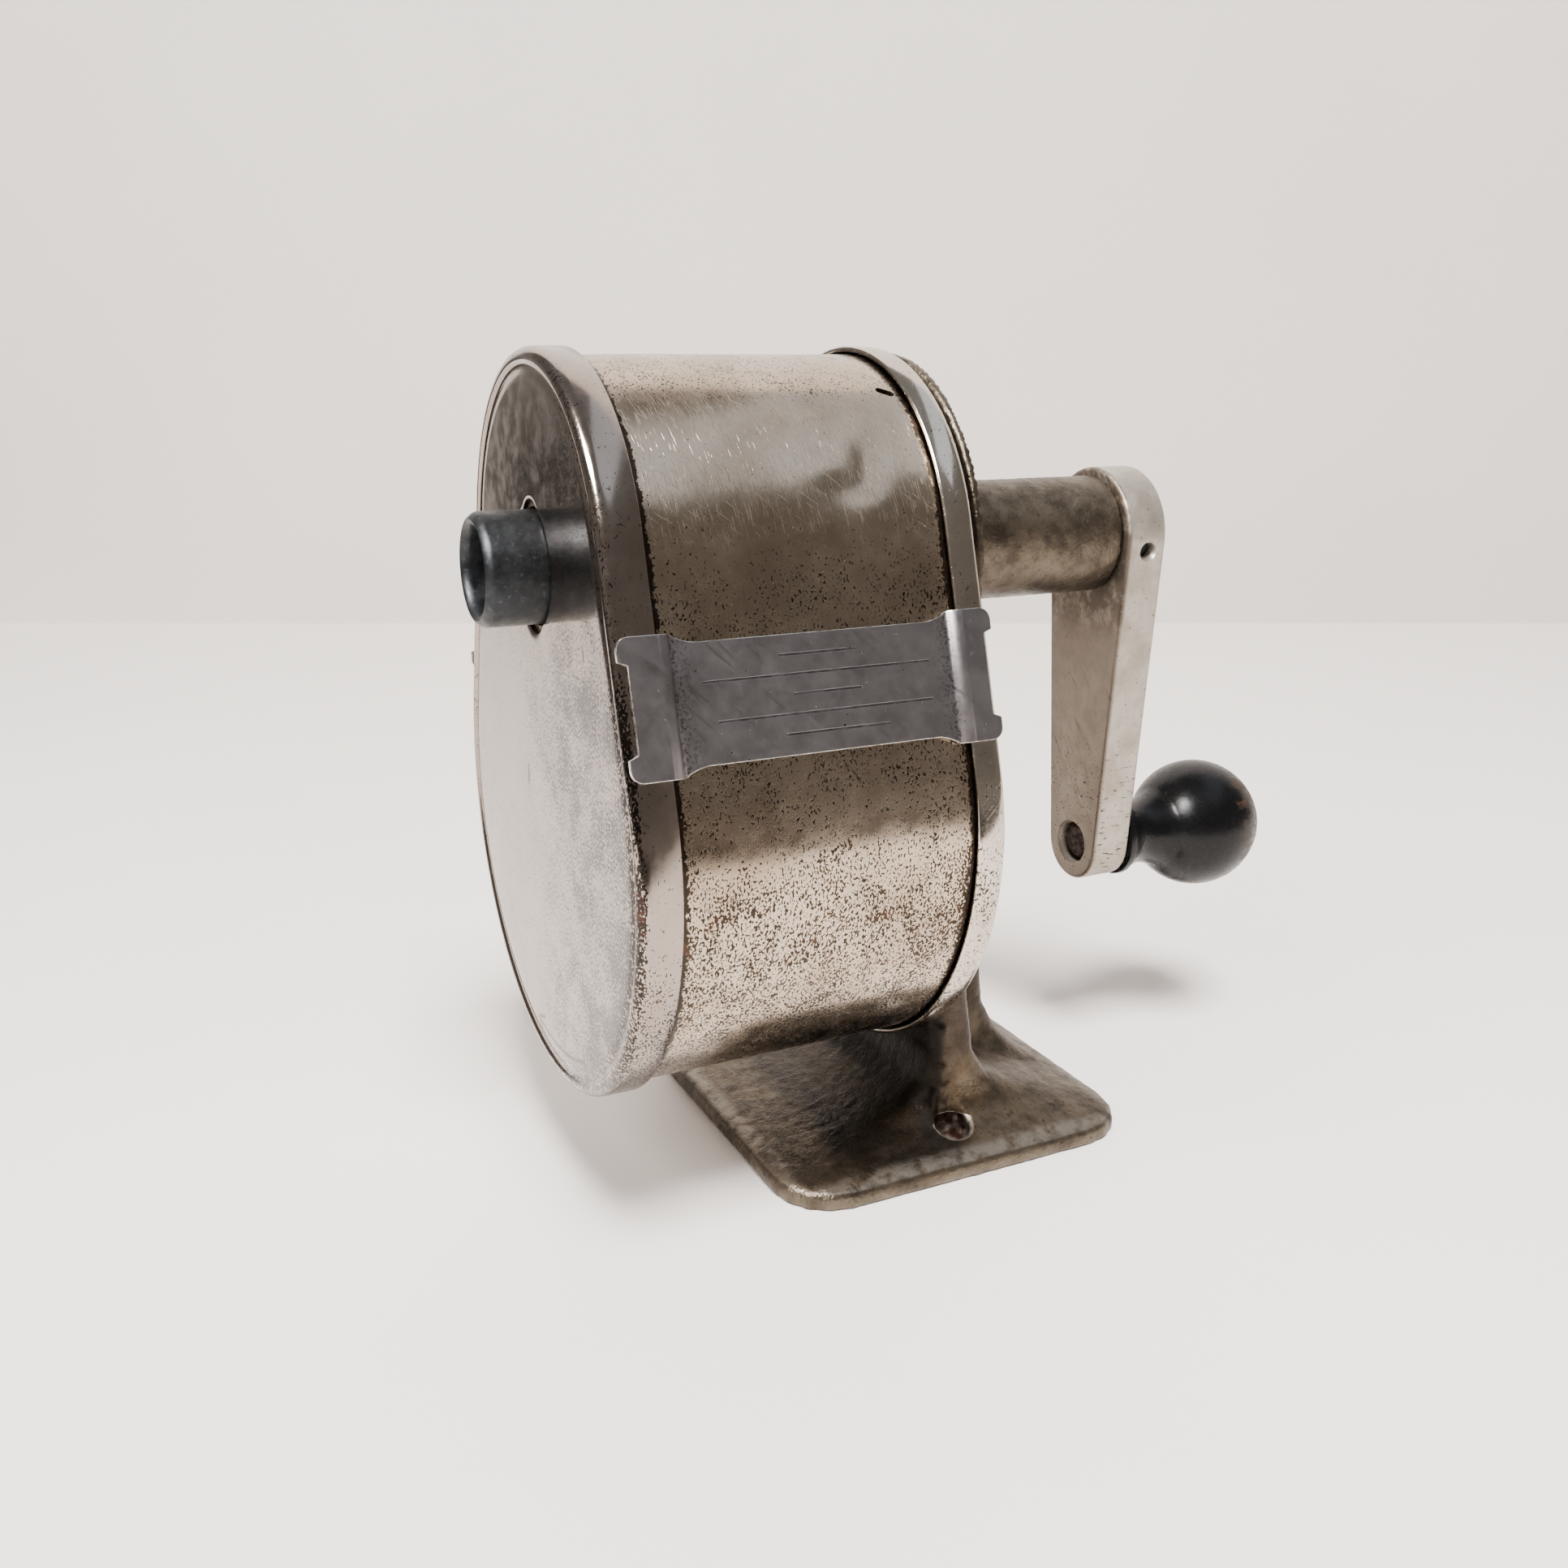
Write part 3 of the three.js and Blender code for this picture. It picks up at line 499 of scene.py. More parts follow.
def cast_nickel():
    """Rough plated casting: brown grey, dark where the column starts, with painted shade on the column's
    front and the apron before its foot under the case, and worn bright along the foot's lip, partly a
    painted highlight there.
    """
    paint = Paint("cast_nickel")
    mottle = paint.ramp(paint.noise(3.2, 4, 0.65), 0.32, 0.7)
    plate = paint.mix(mottle, srgb(102, 92, 79), srgb(68, 60, 51))
    foot = paint.band(paint.z, 3.0, 12.0, 3.0)
    near = paint.ramp(paint.absolute(paint.y), 16, 4)
    olive = paint.times(paint.times(foot, near), paint.ramp(paint.noise(5, 3, 0.6), 0.35, 0.65))
    plate = paint.mix(paint.times(olive, 0.35), plate, srgb(104, 84, 58))
    upright = paint.times(paint.ramp(paint.z, 8, 14), paint.ramp(paint.z, 66, 58))
    plate = paint.mix(paint.times(upright, 0.7), plate, srgb(42, 35, 29))
    # painted shade: the column's front in the case's shadow and the apron in front of its foot under the
    # case are darkened nearly to black
    shade = paint.times(paint.ramp(paint.y, 0.6, -0.8), paint.band(paint.z, 7, 52, 3))
    apron = paint.times(paint.band(paint.y, -14, -1, 4), paint.band(paint.z, 2.9, 10, 0.6))
    shade = paint.highest(shade, paint.times(apron, 0.7))
    plate = paint.mix(paint.times(shade, 0.93), plate, srgb(17, 15, 14))
    pores = paint.ramp(paint.noise(0.45, 3, 0.6), 0.62, 0.7)
    plate = paint.mix(paint.times(pores, 0.6), plate, GRIME)
    stains = paint.times(paint.ramp(paint.noise(2.4, 4, 0.7), 0.58, 0.68), paint.band(paint.z, 2.9, 4, 1))
    plate = paint.mix(paint.times(stains, 0.5), plate, srgb(24, 19, 17))
    # the bright band along the foot's lip is partly wear and partly a painted highlight on the lip's
    # rounding
    edge = paint.band(paint.z, 2.2, 3.1, 0.2)
    rim = paint.highest(paint.absolute(paint.x), paint.absolute(paint.y))
    lip = paint.times(edge, paint.ramp(rim, 21.5, 23))
    worn = paint.times(lip, paint.ramp(paint.noise(2, 3, 0.6), 0.3, 0.6))
    plate = paint.mix(paint.times(worn, 0.5), plate, srgb(156, 148, 137))
    aside = paint.minus(paint.absolute(paint.x), SCREW_HOLE_X)
    away = paint.root(paint.plus(paint.times(aside, aside), paint.times(paint.y, paint.y)))
    above_foot = paint.ramp(paint.z, 4.6, 5.4, 0.0, 9.0)
    away = paint.plus(away, above_foot)
    plate = paint.mix(paint.times(paint.band(away, 2.3, 2.75, 0.15), 0.7), plate, srgb(190, 182, 170))
    plate = paint.mix(paint.ramp(away, 2.35, 2.2), plate, srgb(46, 26, 20))
    rough = paint.ramp(paint.noise(1.1, 4, 0.6), 0.3, 0.7, 0.3, 0.44)
    rough = paint.plus(rough, paint.times(pores, 0.2))
    rough = paint.plus(rough, paint.ramp(paint.y, 3, 6, 0.0, 0.08))
    paint.bumps((paint.noise(1.0, 4, 0.65), 0.12), (paint.noise(0.35, 2, 0.5), 0.07))
    return paint.finish(plate, 0.92, rough)


STRAP_Z = TOP_CENTRE + TOP_RADIUS * math.sin(LEAN) - STRAP_MIDDLE * math.cos(LEAN)
RULE_STEP = 1.95
# (middle y, half length) of the plain rules engraved on the strap, from the top down
RULES = [(-24.0, 4.4), (-24.0, 13.0), (-23.3, 3.9), (-23.4, 12.4), (-22.5, 6.0)]


def strap_steel():
    """Dark steel with plain engraved rules across its waist."""
    paint = Paint("strap_steel")
    mottle = paint.ramp(paint.noise(4, 4, 0.6), 0.3, 0.7)
    plate = paint.mix(mottle, srgb(122, 118, 119), srgb(108, 103, 104))
    near_ends = paint.ramp(paint.absolute(paint.plus(paint.y, 24)), 13, 16.5)
    waist = paint.band(paint.y, STRAP_LOW.y + 6, STRAP_HIGH.y - 5, 0.5)
    dirt = paint.times(paint.ramp(paint.noise(0.35, 3, 0.6), 0.5, 0.6), paint.times(waist, near_ends))
    plate = paint.mix(paint.times(dirt, 0.7), plate, GRIME)
    specks = paint.ramp(paint.noise(0.45, 2, 0.5), 0.72, 0.76)
    plate = paint.mix(specks, plate, GRIME)
    rules = None
    for i, (middle, half) in enumerate(RULES):
        level = STRAP_Z + (2 - i) * RULE_STEP
        line = paint.ramp(paint.absolute(paint.minus(paint.z, level)), 0.17, 0.09)
        line = paint.times(line, paint.band(paint.y, middle - half, middle + half, 0.08))
        rules = line if rules is None else paint.highest(rules, line)
    worn = paint.ramp(paint.noise(1.6, 3, 0.6), 0.35, 0.6, 0.45, 1.0)
    rules = paint.times(rules, worn)
    plate = paint.mix(paint.times(rules, 0.65), plate, GRIME)
    rough = paint.ramp(paint.noise(1.5, 3, 0.6), 0.3, 0.7, 0.37, 0.44)
    lines = scratches(paint, paint.y, paint.z, 0.8, 0.35, 0.62, 0.68)
    rough = paint.plus(rough, paint.times(lines, -0.08))
    engraved = paint.minus(1, paint.highest(specks, rules))
    paint.bumps((paint.noise(0.5, 3, 0.6), 0.01), (engraved, 0.04))
    return paint.finish(plate, 0.95, rough)


def raw_edge():
    """Bright steel where an edge is worn through."""
    paint = Paint("raw_edge")
    mottle = paint.ramp(paint.noise(1.5, 3, 0.6), 0.4, 0.65)
    colour = paint.mix(mottle, srgb(214, 210, 203), srgb(150, 142, 130))
    rough = paint.ramp(paint.noise(0.8, 2, 0.5), 0.3, 0.7, 0.22, 0.36)
    paint.bumps((paint.noise(0.5, 2, 0.5), 0.01))
    return paint.finish(colour, 1.0, rough)


def blued_steel():
    """Dark blued steel of the guide, rubbed grey in patches."""
    paint = Paint("blued_steel")
    mottle = paint.ramp(paint.noise(2.2, 4, 0.65), 0.35, 0.7)
    plate = paint.mix(mottle, srgb(48, 50, 52), srgb(35, 36, 38))
    rub = paint.times(paint.ramp(paint.noise(0.7, 4, 0.7), 0.56, 0.74), 0.3)
    plate = paint.mix(rub, plate, srgb(100, 108, 112))
    rough = paint.ramp(paint.noise(1.3, 4, 0.6), 0.3, 0.7, 0.36, 0.5)
    paint.bumps((paint.noise(0.8, 3, 0.6), 0.02))
    return paint.finish(plate, 0.9, rough)


def pale_metal():
    """Matt plating of the arm: browner on its face, with scratches, a dirty hub and nicks low down."""
    paint = Paint("pale_metal")
    mottle = paint.ramp(paint.noise(4, 4, 0.65), 0.3, 0.72)
    plate = paint.mix(mottle, srgb(178, 171, 161), srgb(154, 145, 132))
    face = paint.ramp(paint.y, ARM_LOW.y + 0.5, ARM_LOW.y + 0.1)
    plate = paint.mix(paint.times(face, 0.8), plate, srgb(122, 109, 95))
    near_hub = paint.ramp(paint.z, AXIS - 16, AXIS - 8)
    front = paint.ramp(paint.y, ARM_LOW.y + 0.7, ARM_LOW.y + 0.1)
    dirt = paint.times(paint.times(near_hub, front), paint.ramp(paint.noise(2.4, 4, 0.7), 0.34, 0.54))
    plate = paint.mix(paint.times(dirt, 0.75), plate, srgb(70, 60, 50))
    specks = paint.ramp(paint.noise(0.7, 3, 0.6), 0.66, 0.71)
    plate = paint.mix(paint.times(specks, 0.8), plate, srgb(84, 68, 52))
    lines = scratches(paint, paint.x, paint.z, 0.9, 0.5, 0.64, 0.69)
    lines = paint.times(lines, face)
    plate = paint.mix(paint.times(lines, 0.35), plate, srgb(96, 86, 76))
    nicks = paint.ramp(paint.noise(0.5, 2, 0.5, (1, 3, 0.6)), 0.63, 0.67)
    nicks = paint.times(nicks, paint.ramp(paint.z, AXIS - 24, AXIS - 34))
    plate = paint.mix(nicks, plate, srgb(70, 60, 52))
    rough = paint.ramp(paint.noise(1.6, 4, 0.6), 0.3, 0.7, 0.42, 0.56)
    paint.bumps((paint.noise(1.2, 3, 0.6), 0.02), (paint.minus(1, lines), 0.02))
    return paint.finish(plate, 0.8, rough)


def machined(name, light, dark, smooth):
    """Turned or milled steel of the inner pieces."""
    paint = Paint(name)
    mottle = paint.ramp(paint.noise(3, 4, 0.6), 0.35, 0.7)
    oil = paint.ramp(paint.noise(1.1, 4, 0.7), 0.55, 0.72)
    plate = paint.mix(paint.times(oil, 0.5), paint.mix(mottle, srgb(*light), srgb(*dark)), GRIME)
    rings = paint.noise(0.25, 1, 0.5, (1, 1, 6))
    rough = paint.ramp(paint.noise(0.9, 3, 0.6), 0.3, 0.7, smooth, smooth + 0.16)
    paint.bumps((rings, 0.008), (paint.noise(0.8, 3, 0.6), 0.012))
    return paint.finish(plate, 0.95, rough)


def rusty_steel():
    """Dark red-brown steel of the rivet, which sits in a recess."""
    paint = Paint("rusty_steel")
    mottle = paint.ramp(paint.noise(0.6, 4, 0.65), 0.35, 0.65)
    plate = paint.mix(mottle, srgb(66, 46, 36), srgb(34, 24, 20))
    paint.bumps((paint.noise(0.4, 3, 0.6), 0.03))
    return paint.finish(plate, 0.5, paint.ramp(mottle, 0, 1, 0.5, 0.7))


def black_wood():
    """Black lacquer, worn to brown wood towards the knob's far end."""
    paint = Paint("black_wood")
    grain = paint.noise(0.5, 3, 0.6, (1, 9, 1))
    figure = paint.ramp(grain, 0.35, 0.7)
    wood = paint.mix(figure, srgb(68, 50, 36), srgb(30, 22, 16))
    far = paint.ramp(paint.y, KNOB_HIGH.y - 11, KNOB_HIGH.y - 2)
    right = paint.ramp(paint.x, -5, 7, 0.5, 1.0)
    breakup = paint.ramp(paint.noise(1.2, 4, 0.7, (1, 3, 1)), 0.3, 0.75)
    worn = paint.ramp(paint.times(paint.times(far, right), breakup), 0.2, 0.5)
    colour = paint.mix(paint.times(worn, 0.6), srgb(7, 7, 8), wood)
    rough = paint.plus(paint.ramp(paint.noise(1.8, 3, 0.6), 0.3, 0.7, 0.24, 0.31), paint.times(worn, 0.2))
    paint.bumps((grain, 0.015), (paint.noise(0.9, 3, 0.6), 0.01))
    paint.shader.inputs["Specular IOR Level"].default_value = 0.22
    return paint.finish(colour, 0.0, rough)


# ---------------- case
def egg_stations(flank_steps, top_steps, low_steps):
    """Points (x, z) of the case outline with outward normals, anticlockwise from the right flank's foot."""
    top = (TOP_CENTRE, TOP_RADIUS, LEAN, math.pi - LEAN, top_steps)
    low = (LOW_CENTRE, LOW_RADIUS, math.pi - LEAN, 2 * math.pi + LEAN, low_steps)
    stations = []
    for before, after in ((low, top), (top, low)):
        centre, radius, first, last, steps = after
        normal = (math.cos(first), math.sin(first))
        for i in range(flank_steps):
            t = i / flank_steps
            reach = before[1] + (radius - before[1]) * t
            middle = before[0] + (centre - before[0]) * t
            stations.append((reach * normal[0], middle + reach * normal[1], *normal))
        for i in range(steps):
            angle = first + (last - first) * i / steps
            along = (math.cos(angle), math.sin(angle))
            stations.append((radius * along[0], centre + radius * along[1], *along))
    return stations


STATIONS = egg_stations(26, 84, 132)


def egg_ring(offset, y):
    """The case outline moved outwards by offset, at y."""
    return [(x + offset * nx, y, z + offset * nz) for x, z, nx, nz in STATIONS]


def hole_ring(radius, notch, y):
    """A round hole on the cutter axis; notch is the radius and place of round notches above and below."""
    ring = []
    for x, z, _, _ in STATIONS:
        angle = math.atan2(z - AXIS, x)
        reach = radius
        if notch:
            size, middle = notch
            off = abs(abs(angle) - math.pi / 2)
            aside = middle * math.sin(off)
            if aside < size:
                reach = max(reach, middle * math.cos(off) + math.sqrt(size ** 2 - aside ** 2))
        ring.append((reach * math.cos(angle), y, AXIS + reach * math.sin(angle)))
    return ring


def between(ring, other, share, y):
    """The ring a share of the way from one ring to another, at y."""
    return [(a[0] + (b[0] - a[0]) * share, y, a[2] + (b[2] - a[2]) * share) for a, b in zip(ring, other)]


def cap(name, front, flange, hole, notch, forward):
    """A drawn cap: flange, rounded rim, groove inside the rim, and a face with a hole.

    front is the y of the rim's highest line, and forward is -1 where the cap faces -Y.
    """
    def at(depth):
        return front - forward * depth

    soft, groove, face = 1.25, 3.3, 0.16
    turn = (0.2, 0.5, 0.8, 1.1, 1.4)
    outer = [(-0.42, flange), (-0.12, flange), (0, flange - 0.14), (0, soft + 0.1)]
    outer += [(soft * (math.cos(t) - 1), soft * (1 - math.sin(t))) for t in turn]
    outer += [(-1.35, 0), (-1.5, 0.04), (-1.65, 0.18), (-1.85, 0.32)]
    outer += [(-2.15, 0.38), (-2.5, 0.32), (-2.9, 0.22), (-groove, face)]
    inner = [(-groove, face + SHEET), (-1.6, 0.34 + SHEET), (-1.0, 0.34 + SHEET)]
    inner += [(-SHEET, 1.2 + SHEET), (-SHEET, flange - 0.1)]
    rings = [egg_ring(offset, at(depth)) for offset, depth in outer]
    last = rings[-1]
    hole_edge = hole_ring(hole, notch, 0)
    shares = [i / 30 for i in range(1, 30)] + [0.985]
    rings += [between(last, hole_edge, share, at(face)) for share in shares]
    rings.append(hole_ring(hole, notch, at(face + 0.08)))
    rings.append(hole_ring(hole, notch, at(face + SHEET)))
    rings += [between(egg_ring(-groove, 0), hole_edge, share, at(face + SHEET)) for share in (0.7, 0.35)]
    rings += [egg_ring(offset, at(depth)) for offset, depth in inner]
    points, faces = skin(rings, loop=True)
    return mesh_object(name, points, faces, 50)


# (x, y, z) of a dent's middle, reach along Y, reach around the drum, depth
DENTS = [
    ((21.4, -17.6, 84.4), 3.2, 2.2, 0.50),
    ((20.1, -14.6, 86.8), 1.6, 2.8, 0.46),
    ((19.6, -20.5, 87.7), 4.5, 2.0, 0.22),
    ((18.0, -9.0, 89.5), 3.0, 4.0, 0.26),
    ((15.0, -18.7, 92.5), 7.0, 1.6, 0.16),
    ((23.4, -24.0, 78.0), 6.0, 5.0, 0.14),
    ((14.0, -34.0, 93.0), 6.0, 2.4, 0.10),
    ((-20.0, -30.0, 87.0), 4.0, 3.0, 0.25),
]


def dent_depth(x, y, z):
    """How far the drum's sheet is pushed in at a point."""
    depth = 0.0
    for (cx, cy, cz), along, around, deep in DENTS:
        square = ((y - cy) / along) ** 2 + ((x - cx) ** 2 + (z - cz) ** 2) / around ** 2
        if square < 9:
            depth += deep * math.exp(-square)
    wave = noise.noise(Vector((x / 14, y / 9, z / 14))) * 0.05
    return depth + wave


def drum():
    """The dented sheet between the caps, with a small oblique slot near its top."""
    front, rear = DRUM_LOW.y, DRUM_HIGH.y
    steps = 56
    rings = []
    for offset, order in ((-DRUM_STEP, 1), (-DRUM_STEP - SHEET, -1)):
        for i in range(steps + 1):
            y = front + (rear - front) * (i if order > 0 else steps - i) / steps
            ring = []
            for x, z, nx, nz in STATIONS:
                push = offset - dent_depth(x, y, z)
                ring.append((x + push * nx, y, z + push * nz))
            rings.append(ring)
    points, faces = skin(rings, loop=True)
    made = mesh_object("drum_sheet", points, faces, 50)
    slot_middle = Vector((13.2, -8.8, 93.8))
    turn, half, radius = 0.976, 0.6, 0.48
    outward = Vector((math.cos(turn), 0, math.sin(turn)))
    around = Vector((-math.sin(turn), 0, math.cos(turn)))
    along = (Vector((0, 1, 0)) * 0.86 - around * 0.5).normalized()
    across = outward.cross(along)
    quarter = math.pi / 2
    outline = arc(half, 0, radius, -quarter, quarter, 8) + arc(-half, 0, radius, quarter, 3 * quarter, 8)

    def place(a, b, height):
        return slot_middle + along * a + across * b + outward * height

    combine(made, "DIFFERENCE", [prism("slot", outline, place, (-3, 2))])
    return made


def flank_point(side, along, down, height):
    """A point by its y, its way down the flank from the top tangent, and its height off the flange."""
    normal = Vector((side * math.cos(LEAN), 0, math.sin(LEAN)))
    way = Vector((side * math.sin(LEAN), 0, -math.cos(LEAN)))
    start = Vector((0, along, TOP_CENTRE)) + normal * TOP_RADIUS
    return start + way * down + normal * height


def strap(side, plates):
    """A bent plate with raised, notched ends on both flanges and a waist on the drum."""
    front, rear = STRAP_LOW.y + 0.02, STRAP_HIGH.y - 0.02
    step, back_step = CAP_HIGH.y + 0.35, REAR_LOW.y - 0.35
    high, low = 0.22, 0.22 - DRUM_STEP
    line = [(front - 1, high), (step, high), (step + 0.75, low)]
    line += [(back_step - 0.75, low), (back_step, high), (rear + 1, high)]
    under = rounded(line, 0.5, 4)
    over = []
    for i, (y, height) in enumerate(under):
        before = Vector(under[max(i - 1, 0)])
        after = Vector(under[min(i + 1, len(under) - 1)])
        run = (after - before).normalized()
        over.append((y - run.y * STRAP_THICK, height + run.x * STRAP_THICK))
    outline = under + over[::-1]
    rings = []
    for down in (STRAP_MIDDLE - STRAP_END - 1, STRAP_MIDDLE, STRAP_MIDDLE + STRAP_END + 1):
        rings.append([flank_point(side, y, down, height) for y, height in outline])
    points, faces = skin(rings, ends=True)
    made = mesh_object("strap_plate_right" if side > 0 else "strap_plate_left", points, faces, 60)
    mask = strap_mask(side, front, rear, step, back_step)
    combine(made, "INTERSECT", [mask], 60)
    made.data.materials.clear()
    made.data.materials.append(plates["strap"])
    made.data.materials.append(plates["edge"])
    outward = Vector((side * math.cos(LEAN), 0, math.sin(LEAN)))
    for face in made.data.polygons:
        face.material_index = 1 if abs(face.normal.dot(outward)) < 0.2 else 0
    bevel(made, 0.12, 2, 50, 1)
    settle(made, 40)
    return made


def strap_mask(side, front, rear, step, back_step):
    """The strap's outline seen from its side, with rounded notched ends and concave shoulders."""
    ease = 2.4
    quarter = math.pi / 2
    end_front, end_rear = step + 1.3, back_step - 1.3
    wide, narrow, deep = STRAP_NOTCH
    corner = STRAP_CORNER
    shoulder = STRAP_END - 0.3
    upper = [(front + deep, narrow), (front, wide)]
    upper += arc(front + corner, STRAP_END - corner, corner, 2 * quarter, quarter, 6)
    upper += [(end_front - 0.4, STRAP_END), (end_front, STRAP_END - 0.15)]
    drop = [(ease * i / 6, (shoulder - STRAP_WAIST) * math.sin(i / 6 * quarter)) for i in range(7)]
    upper += [(end_front + 0.1 + run, shoulder - fall) for run, fall in drop]
    upper += [(end_rear - 0.1 - run, shoulder - fall) for run, fall in reversed(drop)]
    upper += [(end_rear, STRAP_END - 0.15), (end_rear + 0.4, STRAP_END)]
    upper += arc(rear - corner, STRAP_END - corner, corner, quarter, 0, 6)
    upper += [(rear, wide), (rear - deep, narrow)]
    outline = upper + [(y, -down) for y, down in reversed(upper)]

    def place(y, down, height):
        return flank_point(side, y, STRAP_MIDDLE + down, height)

    return prism("mask", outline, place, (-2.4, 2.0))


# ---------------- small turned pieces
def pencil_guide():
    """A thick tube with a rounded mouth, and two lugs behind the front cap."""
    front, rear = GUIDE_LOW.y, GUIDE_HIGH.y
    outer, bore = GUIDE_RADIUS, GUIDE_BORE
    lug_reach = GUIDE_HIGH.x
    lug_thick = 0.55
    profile = [(bore, rear), (outer, rear), (outer, front + 0.95), (outer - 0.15, front + 0.6)]
    profile += [(outer - 0.55, front + 0.12), (outer - 0.8, front), (bore + 0.75, front)]
    profile += [(bore + 0.45, front + 0.12), (bore + 0.1, front + 0.6), (bore, front + 1.1)]
    body = turned("guide_tube", profile, AXIS, 40, 96, closed=True)
    for side in (-1, 1):
        outline = arc(0, 0, lug_reach, -0.27, 0.27, 8) + arc(0, 0, bore + 0.6, 0.4, -0.4, 8)

        def place(a, b, height):
            return Vector((side * a, rear - lug_thick + height, AXIS + b))

        combine(body, "UNION", [prism("lug", outline, place, (0, lug_thick))])
    return body


def shaft():
    """The crank's shaft: a headed spigot in the carrier, a plain length, and a domed end behind the arm."""
    front, rear = SHAFT_LOW.y, SHAFT_HIGH.y
    radius, spigot = SHAFT_RADIUS, SPIGOT_RADIUS
    head = spigot + 0.4
    shoulder = -3.1
    dome = rear - ARM_HIGH.y
    profile = [(0.01, front), (head - 0.1, front), (head, front + 0.1), (head, front + 0.5)]
    profile += [(spigot, front + 0.5), (spigot, shoulder), (radius - 0.2, shoulder)]
    profile += [(radius, shoulder + 0.2), (radius, ARM_HIGH.y)]
    for t in (0.3, 0.6, 0.9, 1.2, 1.45):
        profile.append((radius * math.cos(t), ARM_HIGH.y + dome * math.sin(t)))
    profile.append((0.01, rear))
    return turned("shaft", profile, AXIS, 40, 64)


def knob():
    """A turned ball with a foot and a neck, bored for the rivet, with a pocket for the rivet's tail."""
    front, rear = KNOB_LOW.y, KNOB_HIGH.y
    ball = KNOB_HIGH.x
    foot = 5.5
    pocket, pocket_floor = 2.9, rear - 1.6
    steps = 28
    profile = [(KNOB_BORE, front), (foot - 0.3, front), (foot - 0.05, front + 0.2), (foot, front + 1.0)]
    profile += [(foot - 0.3, front + 1.5), (4.75, front + 2.5), (4.45, front + 3.8)]
    profile += [(4.5, front + 5.2), (4.85, front + 6.3)]
    start = math.pi - math.asin(foot / ball)
    end = math.acos((rear - KNOB_CENTRE) / ball)
    for i in range(steps + 1):
        angle = start + (end - start) * i / steps
        profile.append((ball * math.sin(angle), KNOB_CENTRE + ball * math.cos(angle)))
    profile += [(pocket + 0.25, rear - 0.02), (pocket, rear - 0.25), (pocket, pocket_floor)]
    profile.append((KNOB_BORE, pocket_floor))
    return turned("knob_ball", profile, KNOB_AXIS, 40, 96, closed=True)


def arm():
    """A tapered bar with soft edges, bored for the shaft and the rivet and drilled for the set screw."""
    front, rear = ARM_LOW.y, ARM_HIGH.y
    lean = math.asin((ARM_HUB - ARM_TIP) / THROW)
    outline = arc(0, -THROW, ARM_TIP, lean - math.pi, -lean, 32)
    outline += arc(0, 0, ARM_HUB, -lean, math.pi + lean, 48)

    def place(a, b, height):
        return Vector((a, front + height, AXIS + b))

    made = prism("arm_bar", outline, place, (0, rear - front))
    bevel(made, 0.5, 4, 50)
    settle(made, 30)
    bore = SHAFT_RADIUS + 0.1
    shaft_hole = turned("hole", [(bore, front - 1), (bore, rear + 1)], AXIS, 40, 64)
    combine(made, "DIFFERENCE", [shaft_hole, rivet_recess(front, rear), set_screw_hole(front, rear)])
    return made


def rivet_recess(front, rear):
    """The recess for the rivet's head in the arm's front, with a worn mouth, and the rivet's hole."""
    recess, floor, hole = 2.85, front + 2.1, 1.8
    profile = [(recess + 0.4, front - 1), (recess + 0.35, front - 0.05), (recess + 0.1, front + 0.1)]
    profile += [(recess, front + 0.3), (recess, floor), (hole, floor), (hole, rear + 1)]
    return turned("recess", profile, KNOB_AXIS, 40, 48)


def set_screw_hole(front, rear):
    """A radial hole through the hub's side, a little below level, with a countersunk mouth."""
    hole, mouth, below_level = 1.1, 1.35, 0.19
    middle = Vector((0, (front + rear) / 2 + 0.2, AXIS))
    profile = [(hole, 0), (hole, ARM_HUB - 0.25), (mouth, ARM_HUB + 0.15), (mouth, ARM_HUB + 2)]
    made = turned("screw", profile, 0, 40, 32)
    made.data.transform(Matrix.Rotation(-math.pi / 2, 4, "Z"))
    made.data.transform(Matrix.Rotation(below_level, 4, "Y"))
    made.data.transform(Matrix.Translation(middle * MM))
    return made


# ---------------- casting
def casting():
    """The CAD casting remeshed finely, with soft fillets, true rounds, flash lines and a cast skin."""
    made = bpy.data.objects.new("cast_frame", NODES["base_frame"].data.copy())
    bpy.context.scene.collection.objects.link(made)
    remesh = made.modifiers.new("remesh", "REMESH")
    remesh.mode = "VOXEL"
    remesh.voxel_size = 0.45 * MM
    soften = made.modifiers.new("soften", "SMOOTH")
    soften.factor = 0.5
    soften.iterations = 7
    settle(made, 180)
    made.data.materials.clear()
    count = len(made.data.vertices)
    places = np.zeros(count * 3)
    made.data.vertices.foreach_get("co", places)
    places = places.reshape(-1, 3) / MM
    normals = np.zeros(count * 3)
    made.data.vertex_normals.foreach_get("vector", normals)
    normals = normals.reshape(-1, 3)
    for i, (x, y, z) in enumerate(places):
        places[i] = cast_point(x, y, z, normals[i])
    made.data.vertices.foreach_set("co", (places * MM).ravel())
    made.data.update()
    return made


